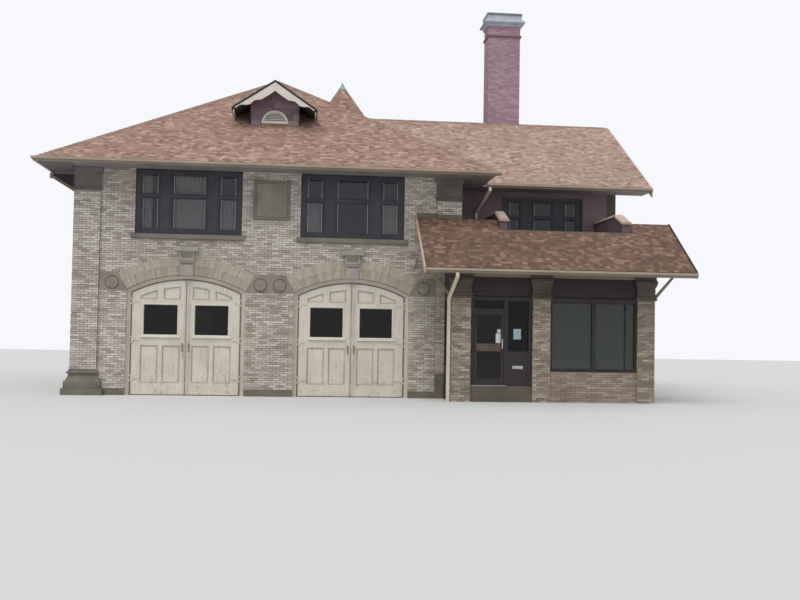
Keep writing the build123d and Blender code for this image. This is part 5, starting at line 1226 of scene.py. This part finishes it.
def cheek_run(z):
    """Length of a dormer cheek at a height, back to the main roof."""
    return max((z - EAVE_Z) / PITCH - EAVE_Y - DORMER_Y, 0.0)


CHEEK_TOP = 9.09
rng = random.Random(41)
units = wall_shingles((-DORMER_HALF, DORMER_Y, 0), (1, 0, 0), DORMER_WALL_RIDGE, face_runs, rng)
units += wall_shingles((DORMER_HALF, DORMER_Y, 0), (0, 1, 0), CHEEK_TOP, lambda z: [(0.0, cheek_run(z))], rng)
units += wall_shingles((-DORMER_HALF, DORMER_Y, 0), (0, -1, 0), CHEEK_TOP, lambda z: [(-cheek_run(z), 0.0)],
                       rng)
lay("dormer_wall_shingles", units, DORMER_PAINT, 0.0008, 42)
boxes("dormer_mended_boards", [(-0.43, 0.40, DORMER_Y - 0.022, DORMER_Y, 8.385, 8.44),
                               (0.40, 0.715, DORMER_Y - 0.026, DORMER_Y, 8.385, 8.545)], BARE_WOOD)

# Half-round vent: a dark sheet behind the slats as painted shade, and raised beads round the rim
bm = bmesh.new()
arc = curve_points((0.0, VENT_Z + 0.066), 0.350, 0, 180, 24)
bm.faces.new([bm.verts.new((x, DORMER_Y - 0.0095, z)) for x, z in arc if z < VENT_Z + 0.352])
bmesh.ops.solidify(bm, geom=bm.faces[:], thickness=0.001)
finish_mesh("vent_shadow", bm, SHADE_SHEET)
bm = bmesh.new()
for radius in (0.362, 0.412):
    run_profile(bm, [(x, DORMER_Y, z) for x, z in curve_points((0.0, VENT_Z), radius, 0, 180, 28)],
                [(-0.008, 0.0), (-0.008, 0.052), (0.0, 0.056), (0.008, 0.052), (0.008, 0.0)], OUT)
run_profile(bm, [(-0.43, DORMER_Y, VENT_Z), (0.43, DORMER_Y, VENT_Z)],
            [(0.0, 0.0), (0.0, 0.060), (0.012, 0.064), (0.030, 0.056), (0.034, 0.0)], OUT)
finish_mesh("vent_rim_beads", bm, TRIM_PAINT)


def barge_top(x):
    """Top edge of the bargeboard."""
    return DORMER_RIDGE - 0.008 - DORMER_PITCH * x


def board(bm, near, far):
    """A flat board between two like outlines."""
    rings = [[bm.verts.new(p) for p in outline] for outline in (near, far)]
    join_rings(bm, rings)
    close_ends(bm, rings)


# Trim boards: the scalloped bargeboard, rakes of the pent roof and the gable, and caps of the pent cheeks
BARGE_LOW = [(0.0, 9.374), (0.10, 9.30), (0.22, 9.215), (0.33, 9.145), (0.42, 9.09), (0.50, 9.078),
             (0.58, 9.068), (0.64, 9.045), (0.69, 9.00), (0.73, 8.955), (0.77, 8.925), (0.84, 8.908),
             (0.92, 8.904), (1.0, 8.907), (1.06, 8.898), (1.12, 8.862), (1.17, 8.815), (1.21, 8.800),
             (1.25, 8.812), (1.28, 8.830)]
TRIM_THICK = 0.04
bm = bmesh.new()
for sx in (-1, 1):
    outline = [(0.0, barge_top(0.0)), (1.28, barge_top(1.28))] + BARGE_LOW[::-1]
    board(bm, *([(sx * x, y, z) for x, z in outline] for y in (DORMER_FRONT - 0.045, DORMER_FRONT)))
rake_deep = 0.110 * math.hypot(1, PENT_SLOPE) + 0.030
for x0 in (PENT_X[0] - TRIM_THICK, PENT_X[1]):
    side = [(y, z + lift) for (y, z), lift in ((PENT_LOW, 0.015), (PENT_HIGH, 0.015), (PENT_HIGH, -rake_deep),
                                               (PENT_LOW, -rake_deep))]
    board(bm, *([(x, y, z) for y, z in side] for x in (x0, x0 + TRIM_THICK)))
gable = [(WING_EAVE0, EAVE_Z + 0.01), (WING_RIDGE_Y, WING_RIDGE_Z + 0.01), (WING_EAVE1, EAVE_Z + 0.01),
         (WING_EAVE1, EAVE_Z - 0.30), (WING_RIDGE_Y, WING_RIDGE_Z - 0.38), (WING_EAVE0, EAVE_Z - 0.30)]
rings = [[bm.verts.new((x, y, z)) for y, z in gable] for x in (WING_ROOF_X1, WING_ROOF_X1 + TRIM_THICK)]
join_rings(bm, rings)
for slope in ((0, 1, 4, 5), (1, 2, 3, 4)):
    bm.faces.new([rings[0][i] for i in slope])
    bm.faces.new([rings[1][i] for i in slope[::-1]])
CAP_LOW, CAP_HIGH = 5.33, 5.62
well_front = PENT_HIGH[0] - (PENT_HIGH[1] - WELL_Z) / PENT_SLOPE
bend = FRONT + 0.17
nose = (well_front - 0.02, CAP_LOW - 0.04 * (CAP_HIGH - CAP_LOW) / (bend - well_front - 0.02))
half = CHEEK / 2
for x in (WELL_X[0] - half, WELL_X[1] + half):
    run_profile(bm, [(x, WING_UPPER, CAP_HIGH), (x, bend, CAP_HIGH), (x, *nose)],
                [(0.002, -half - 0.030), (0.052, -half - 0.030), (0.062, -half - 0.022),
                 (0.080, -half + 0.01), (0.080, half - 0.01), (0.062, half + 0.022), (0.052, half + 0.030),
                 (0.002, half + 0.030)], (-1, 0, 0))
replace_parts(finish_mesh("scalloped_bargeboard_and_trim", bm, TRIM_PAINT), "trim_boards")

# Dark folded edges over the bargeboard, along the dormer's eaves and up the pent roof's rakes
bm = bmesh.new()
run_profile(bm, [(x, DORMER_FRONT, barge_top(abs(x))) for x in (-1.285, 0, 1.285)],
            [(-0.040, 0.046), (-0.040, 0.053), (0.020, 0.056), (0.020, -0.05), (0.012, -0.05),
             (0.012, 0.046)], OUT)
for sx, x0 in ((-1, PENT_X[0]), (1, PENT_X[1])):
    eaves = [(sx * DORMER_EAVE, DORMER_FRONT - 0.04, DORMER_LOW), (sx * DORMER_EAVE, -4.95, DORMER_LOW)]
    run_profile(bm, eaves if sx < 0 else eaves[::-1],
                [(-0.03, -0.002), (0.012, -0.010), (0.012, -0.100), (0.002, -0.100), (0.002, -0.020),
                 (-0.03, -0.012)])
    rake = [(x0, *PENT_LOW), (x0, *PENT_HIGH)]
    run_profile(bm, rake if sx > 0 else rake[::-1],
                [(sx * a, b) for a, b in ((0.012, -0.002), (0.012, 0.036), (0.020, 0.040), (0.034, 0.036),
                                          (0.034, -0.002))], (sx, 0, 0))
finish_mesh("dark_metal_edges", bm, EDGE)
bm = bmesh.new()
for x0, x1 in ((-1.280, -1.252), (1.252, 1.280)):
    add_box(bm, x0, x1, DORMER_FRONT, -4.98, 8.6525, 8.7775)
finish_mesh("dormer_eaves_boards", bm, TRIM_PAINT)


def cove(x, z, wide, high, turns):
    """Points of a hollow curve that sets out upright from (x, z), at turns given in degrees."""
    return [(x + wide * (1 - math.cos(math.radians(a))), z + high * math.sin(math.radians(a))) for a in turns]


# Chimney cap: weathered mouldings under a dark slab, and a string course lower down
ring = [(CHIMNEY_X[1], CHIMNEY_Y[0], 0), (CHIMNEY_X[0], CHIMNEY_Y[0], 0), (CHIMNEY_X[0], CHIMNEY_Y[1], 0),
        (CHIMNEY_X[1], CHIMNEY_Y[1], 0)]
cap = moulding("moulded_chimney_cap", [ring],
               [(-0.20, 13.26), (0.030, 13.26), (0.040, 13.275)]
               + curve_points((0.045, 13.300), 0.026, -70, 70, 5) + [(0.050, 13.325)]
               + cove(0.050, 13.33, 0.085, 0.045, (15, 40, 65, 90))
               + [(0.160, 13.385), (0.165, 13.395), (0.165, 13.440), (0.150, 13.452), (0.120, 13.470)]
               + cove(0.052, 13.62, 0.06, -0.14, (80, 60, 40, 20, 0)) + [(0.052, 13.665), (-0.20, 13.665)],
               CAP_STONE, closed=True)
moulding("chimney_cap_slab", [ring],
         [(-0.20, 13.665), (0.060, 13.665), (0.065, 13.672), (0.065, 13.742), (0.058, 13.752),
          (0.030, 13.760), (-0.19, 13.760), (-0.20, 13.75)], SLAB, closed=True)
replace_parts(cap, "chimney_cap")
moulding("chimney_string_course", [ring],
         [(-0.01, 12.845), (0.020, 12.850)] + curve_points((0.025, 12.90), 0.032, -60, 60, 5)
         + [(0.020, 12.950), (-0.01, 12.955)], RED_EDGE, closed=True)

# Tower cap: a small folded copper spire with standing seams on its hips
CORNERS = ((-1, -1), (1, -1), (1, 1), (-1, 1))
LEVELS = [(0.172, 12.152), (0.176, 12.166), (0.166, 12.176), (0.135, 12.215), (0.095, 12.285),
          (0.055, 12.375), (0.022, 12.455), (0.006, 12.500)]
bm = bmesh.new()
rings = [[bm.verts.new((tx + sx * h, ty + sy * h, z)) for sx, sy in CORNERS] for h, z in LEVELS]
join_rings(bm, rings)
close_ends(bm, rings)
for sx, sy in CORNERS:
    hip = [Vector((tx + sx * h, ty + sy * h, z)) for h, z in LEVELS[2:]]
    for p, q in zip(hip, hip[1:]):
        turn = (q - p).to_track_quat("Z", "Y").to_matrix().to_4x4()
        bmesh.ops.create_cone(bm, segments=8, radius1=0.007, radius2=0.006, depth=(q - p).length + 0.004,
                              cap_ends=True, matrix=Matrix.Translation((p + q) / 2) @ turn)
spire = finish_mesh("folded_copper_cap", bm, PATINA)
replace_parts(spire, "tower_cap")

# Wing piers: a neck moulding, a plain block and a spreading head; the outer sides run further back
HEAD_PROFILE = ([(-0.02, 2.980), (0.012, 2.982), (0.020, 2.990), (0.037, 2.994)]
                + curve_points((0.034, 3.026), 0.028, -70, 70, 6)
                + [(0.042, 3.056), (0.042, 3.095), (0.037, 3.114), (0.020, 3.122), (0.014, 3.138),
                   (0.014, 3.350)]
                + cove(0.014, 3.350, 0.030, 0.045, (20, 45, 70, 90))
                + [(0.044, 3.420), (0.048, 3.440), (0.066, 3.480), (0.070, 3.490), (0.070, 3.550),
                   (0.064, 3.574), (0.050, 3.584), (0.042, 3.600), (0.040, 3.700), (-0.02, 3.700)])
head_backs = ((-8.46, -8.64), (-8.64, -8.64), (-8.64, -8.46))
moulding("moulded_wing_pier_heads",
         [[(x1, right, 0), (x1, WING_FRONT, 0), (x0, WING_FRONT, 0), (x0, left, 0)]
          for (x0, x1), (left, right) in zip(WING_PIERS, head_backs)], HEAD_PROFILE, HEAD_STONE)

# Shop front: header boards, ledge, frieze, glazing beads, sill and a slim post
boxes("header_boards", [(x0, x1, FRAME_Y - 0.012, FRAME_Y + 0.005, 3.055 + i * 0.135, 3.186 + i * 0.135)
                        for x0, x1 in WING_BAYS for i in range(4)], BOARDS, edge=0.004)
moulding("header_ledges", [[(x1, FRAME_Y, 0), (x0, FRAME_Y, 0)] for x0, x1 in WING_BAYS],
         [(-0.005, 2.962), (0.014, 2.962), (0.018, 2.975), (0.030, 2.985), (0.034, 3.010), (0.030, 3.030),
          (0.012, 3.045), (-0.005, 3.050)], SHOP)
boxes("frieze_boards", [(x0, x1, FRAME_Y - 0.030, FRAME_Y + 0.01, 3.600, 3.715) for x0, x1 in WING_BAYS],
      PENT_WOOD, edge=0.005)
bm = bmesh.new()
for light in ((8.16, 9.37, 0.95, 2.90), (9.44, 10.64, 0.95, 2.90), (6.87, 7.49, 1.45, 2.92),
              (5.875, 6.765, 2.672, 2.92)):
    run_profile(bm, upright(*light, FRAME_Y),
                [(-0.004, -0.045), (-0.004, 0.0), (-0.004, 0.006), (0.008, 0.008), (0.016, -0.002),
                 (0.020, -0.020), (0.022, -0.045)], OUT, closed=True)
run_profile(bm, [(10.70, FRAME_Y, 0), (8.10, FRAME_Y, 0)],
            [(-0.005, 0.892), (0.030, 0.892), (0.034, 0.902), (0.030, 0.925), (0.010, 0.945),
             (-0.005, 0.945)])
finish_mesh("shop_glazing_beads", bm, SHOP)
boxes("slim_shop_post", [(10.345, 10.385, FRAME_Y + 0.012, FRAME_Y + 0.046, 0.952, 2.898)], SHOP)

# Panel below the sidelight, with a letter plate, and a blank notice above it
moulding("sidelight_panel_bead", [upright(6.905, 7.455, 0.53, 1.37, FRAME_Y)],
         [(0.0, -0.002), (0.0, 0.006), (0.010, 0.010), (0.020, 0.006), (0.024, -0.002)], SHOP, OUT,
         closed=True)
boxes("letter_plate", [(7.01, 7.32, FRAME_Y - 0.010, FRAME_Y + 0.002, 0.955, 1.045),
                       (7.03, 7.30, FRAME_Y - 0.018, FRAME_Y - 0.008, 0.972, 1.028)], BRIGHT, edge=0.004)
boxes("sidelight_notice", [(7.045, 7.265, FRAME_Y + 0.046, FRAME_Y + 0.050, 1.81, 2.11)], BLUE_PAPER,
      edge=0.0008)

# Entrance door: beads, brown middle rail, pull and blank notices, all riding on the leaf
moulding("entry_door_beads",
         [upright(5.965, 6.675, z0, z1, FRAME_Y) for z0, z1 in ((0.64, 1.45), (1.68, 2.515))],
         [(-0.010, -0.002), (-0.010, 0.006), (0.0, 0.008), (0.010, 0.002), (0.014, -0.014), (-0.003, -0.014)],
         SHOP, OUT, "entry_door", closed=True)
boxes("entry_door_middle_rail", [(5.958, 6.655, FRAME_Y - 0.010, FRAME_Y + 0.002, 1.462, 1.668)], RAIL,
      "entry_door")
boxes("entry_door_pull", [(6.686, 6.720, FRAME_Y - 0.0605, FRAME_Y - 0.030, 1.538, 1.782),
                          (6.682, 6.724, FRAME_Y - 0.006, FRAME_Y + 0.002, 1.500, 1.820)], BRIGHT,
      "entry_door", 0.004)
boxes("entry_door_notices", [(6.520, 6.664, FRAME_Y + 0.010, FRAME_Y + 0.0155, 1.690, 1.975),
                             (6.560, 6.662, FRAME_Y + 0.010, FRAME_Y + 0.0155, 1.995, 2.090)], PAPER,
      "entry_door", 0.0008)
boxes("entry_threshold_plate", [(5.80, 6.83, FRAME_Y - 0.03, FRAME_Y + 0.06, 0.455, 0.482)], TRACK,
      edge=0.004)

# Lapped boards of the wing's set-back wall, and the casing round its wide window
BOARD_LOW = 4.97
BOARD_STEP = 0.118
BOARD_ENDS = (HOUSE + 0.002, 10.905)
win0, win1 = UPPER_X - UPPER_HALF, UPPER_X + UPPER_HALF
bm = bmesh.new()
row = 0
while BOARD_LOW + row * BOARD_STEP < 6.60:
    z0 = BOARD_LOW + row * BOARD_STEP
    z1 = min(z0 + 0.122, 6.615)
    for a, b in ((BOARD_ENDS[0], win0), (win1, BOARD_ENDS[1])) if 5.18 < z0 + 0.06 < 6.40 else (BOARD_ENDS,):
        run_profile(bm, [(b, WING_UPPER, 0), (a, WING_UPPER, 0)],
                    [(-0.002, z0), (0.021, z0), (0.007, z1), (-0.002, z1)])
    row += 1
finish_mesh("lapped_upper_boards", bm, WING_BOARDS)
boxes("upper_window_casing",
      [(win0 - 0.06, win1 + 0.06, WING_UPPER - 0.030, WING_UPPER + 0.035, 5.215, 5.262)]
      + [(x0, x1, WING_UPPER - 0.026, WING_UPPER + 0.035, z0, z1)
         for x0, x1, z0, z1 in ((win0 - 0.05, win0 + 0.002, 5.26, 6.40),
                                (win1 - 0.002, win1 + 0.05, 5.26, 6.40),
                                (win0 - 0.05, win1 + 0.05, 6.398, 6.45))], FRAME, edge=0.004)

# Metal flashing where the pent roof meets the house wall, and a light strip along the front of the well
boxes("wall_flashing", [(PENT_X[0], PIER_IN, FRONT - 0.024, FRONT + 0.004, 5.385, 5.560),
                        (PIER_IN, PIER_OUT, FRONT - PIER_PROUD - 0.018, FRONT - PIER_PROUD + 0.004, 5.385,
                         5.520)],
      FLASHING)
boxes("well_front_strip", [(*WELL_X, well_front - 0.022, well_front + 0.010, WELL_Z - 0.02, WELL_Z + 0.022)],
      FLASHING, edge=0.004)

# Lamp box on the house wall
boxes("wall_lamp_box", [(4.205, 4.315, FRONT - 0.10, FRONT + 0.004, 3.98, 4.16),
                        (4.225, 4.295, FRONT - 0.085, FRONT - 0.02, 3.93, 3.985)], TRIM_PAINT, edge=0.010)

# Downspouts: sleeves at the necks, straps on the walls, and boards that carry the long necks, near black as
# painted shade
NECK = (-6.635, 6.50)
WALL_PIPE = (-5.74, 5.963)
WING_PIPE = (5.12, -8.741)
STRAP = 0.035
sleeves = []
bm = bmesh.new()
for y in (-6.0, 6.0):
    sleeves.append((NECK[0] - 0.058, NECK[0] + 0.058, y - 0.048, y + 0.048, 6.44, 6.585))
    sleeves += [(WALL_PIPE[0] - 0.050, WALL_PIPE[0] + 0.110, y - 0.042, y + 0.042, z, z + STRAP)
                for z in (1.3, 3.5, 5.6)]
    outline = [(NECK[0] + 0.03, 6.575), (NECK[0] + 0.03, NECK[1] - 0.02), (WALL_PIPE[0], WALL_PIPE[1] - 0.01),
               (-5.64, WALL_PIPE[1] - 0.01), (-5.64, 6.575)]
    board(bm, *([(x, side, z) for x, z in outline] for side in (y - 0.014, y + 0.014)))
sleeves += [(WING_PIPE[0] - 0.050, WING_PIPE[0] + 0.050, WING_PIPE[1] - 0.041, WING_PIPE[1] + 0.041,
             z, z + STRAP) for z in (0.9, 2.7)]
finish_mesh("neck_boards", bm, DARK_SOFFIT)
boxes("downspout_straps", sleeves, PIPE)

# Finishes of the solids that show as they are
LEAVES = [f"{side}_door_leaf_{leaf}" for side in ("left", "right") for leaf in "ab"]
FINISH = {
    MORTAR: ["front_jamb_walls", "front_arch_wall", "front_upper_walls", "left_wall", "right_wall",
             "back_wall", "corner_piers", "wing_front_wall", "wing_right_wall", "wing_back_wall",
             "tower_walls"],
    ARCH_MORTAR: ["door_arches"],
    STONE: ["keystones", "spandrel_stones", "pier_capitals", "plaque"],
    SILL_STONE: ["window_sills"],
    BASE_STONE: ["pier_bases", "plinth"],
    CONCRETE: ["house_floor", "upper_floor", "wing_floor"],
    SHINGLE: ["main_roof", "tower_roof"],
    DARK_SOFFIT: ["dormer_roof"],
    WING_SHINGLE: ["wing_roof"],
    PENT_SHINGLE: ["pent_roof"],
    CASING_PAINT: ["door_casings"],
    TRIM_PAINT: ["trim_boards", "dormer_vent"],
    SOFFIT: ["eave_soffits", "fascias"],
    PENT_WOOD: ["pent_brackets"],
    GUTTER: ["gutters"],
    PIPE: ["downspouts"],
    FRAME: ["front_windows", "single_windows"],
    SHOP: ["shop_frames", "wing_side_wall", "entry_door"],
    BOARDS: ["wing_header"],
    WING_BOARDS: ["wing_upper_wall"],
    DORMER_PAINT: ["dormer_walls", "pent_cheeks"],
    PANE: ["front_window_glass", "single_window_glass"],
    SHOP_PANE: ["wing_glass"],
    DOOR_PANE: ["entry_door_glass"] + [leaf + "_glass" for leaf in LEAVES],
    CREAM: LEAVES,
    RED_MORTAR: ["chimney"],
    CAP_STONE: ["chimney_cap"],
    PATINA: ["tower_cap"],
    DECK: ["wing_deck"],
}
for finish, names in FINISH.items():
    for name in names:
        mesh = NODES[name].data
        mesh.materials.clear()
        mesh.materials.append(finish)

# The panes of the entrance are dark, the shop window's are greener
ENTRANCE_SIDE = 7.85
panes = NODES["wing_glass"].data
panes.materials.append(ENTRANCE_PANE)
for face in panes.polygons:
    face.material_index = int(face.center.x < ENTRANCE_SIDE)

# Pale floor, white surroundings for the camera and a softer sky for reflections
HALF_FLOOR = 60
floor_mesh = bpy.data.meshes.new("studio_floor")
floor_mesh.from_pydata([(sx * HALF_FLOOR, sy * HALF_FLOOR, 0) for sx, sy in CORNERS], [], [(0, 1, 2, 3)])
floor = bpy.data.objects.new("studio_floor", floor_mesh)
bpy.context.scene.collection.objects.link(floor)
floor_surface = new_surface("pale_floor", {"Base Color": linear("#D9D9D8"), "Roughness": 0.9})
floor_mesh.materials.append(floor_surface[0])

world = bpy.data.worlds.new("overcast")
bpy.context.scene.world = world
world.use_nodes = True
tree = world.node_tree
tree.nodes.clear()
rays = add(tree, "ShaderNodeLightPath")
seen = add(tree, "ShaderNodeMath", {0: rays.outputs["Is Camera Ray"], 1: rays.outputs["Is Transmission Ray"]},
           operation="MAXIMUM")
sky = add(tree, "ShaderNodeBackground", {"Color": linear("#F4F6FA"), "Strength": 0.68})
white = add(tree, "ShaderNodeBackground", {"Color": linear("#F7F8FC"), "Strength": 1.0})
both = add(tree, "ShaderNodeMixShader", {0: seen.outputs[0], 1: sky.outputs[0], 2: white.outputs[0]})
add(tree, "ShaderNodeOutputWorld", {"Surface": both.outputs[0]})

SUN_FALL = Vector((0.38, 0.66, -1.25))
sun = bpy.data.lights.new("soft_sun", "SUN")
sun.energy = 1.45
sun.angle = math.radians(40)
sun.color = (1.0, 0.99, 0.97)
sun_object = bpy.data.objects.new("soft_sun", sun)
bpy.context.scene.collection.objects.link(sun_object)
sun_object.rotation_euler = SUN_FALL.to_track_quat("-Z", "Y").to_euler()

# Camera at the photograph's place
camera = bpy.data.cameras.new("viewpoint")
camera.sensor_width = 36.0
camera.lens = 45.88
camera.clip_end = 500.0
eye = bpy.data.objects.new("viewpoint", camera)
bpy.context.scene.collection.objects.link(eye)
turn = Matrix.Rotation(-0.1022, 3, "Z") @ Matrix.Rotation(0.0349, 3, "X") @ Matrix.Rotation(-0.0169, 3, "Y")
look = Matrix((turn.col[0], turn.col[2], -turn.col[1])).transposed().to_4x4()
look.translation = (0.757, -37.579, 1.861)
eye.matrix_world = look
bpy.context.scene.camera = eye
bpy.context.scene.view_settings.view_transform = "Standard"
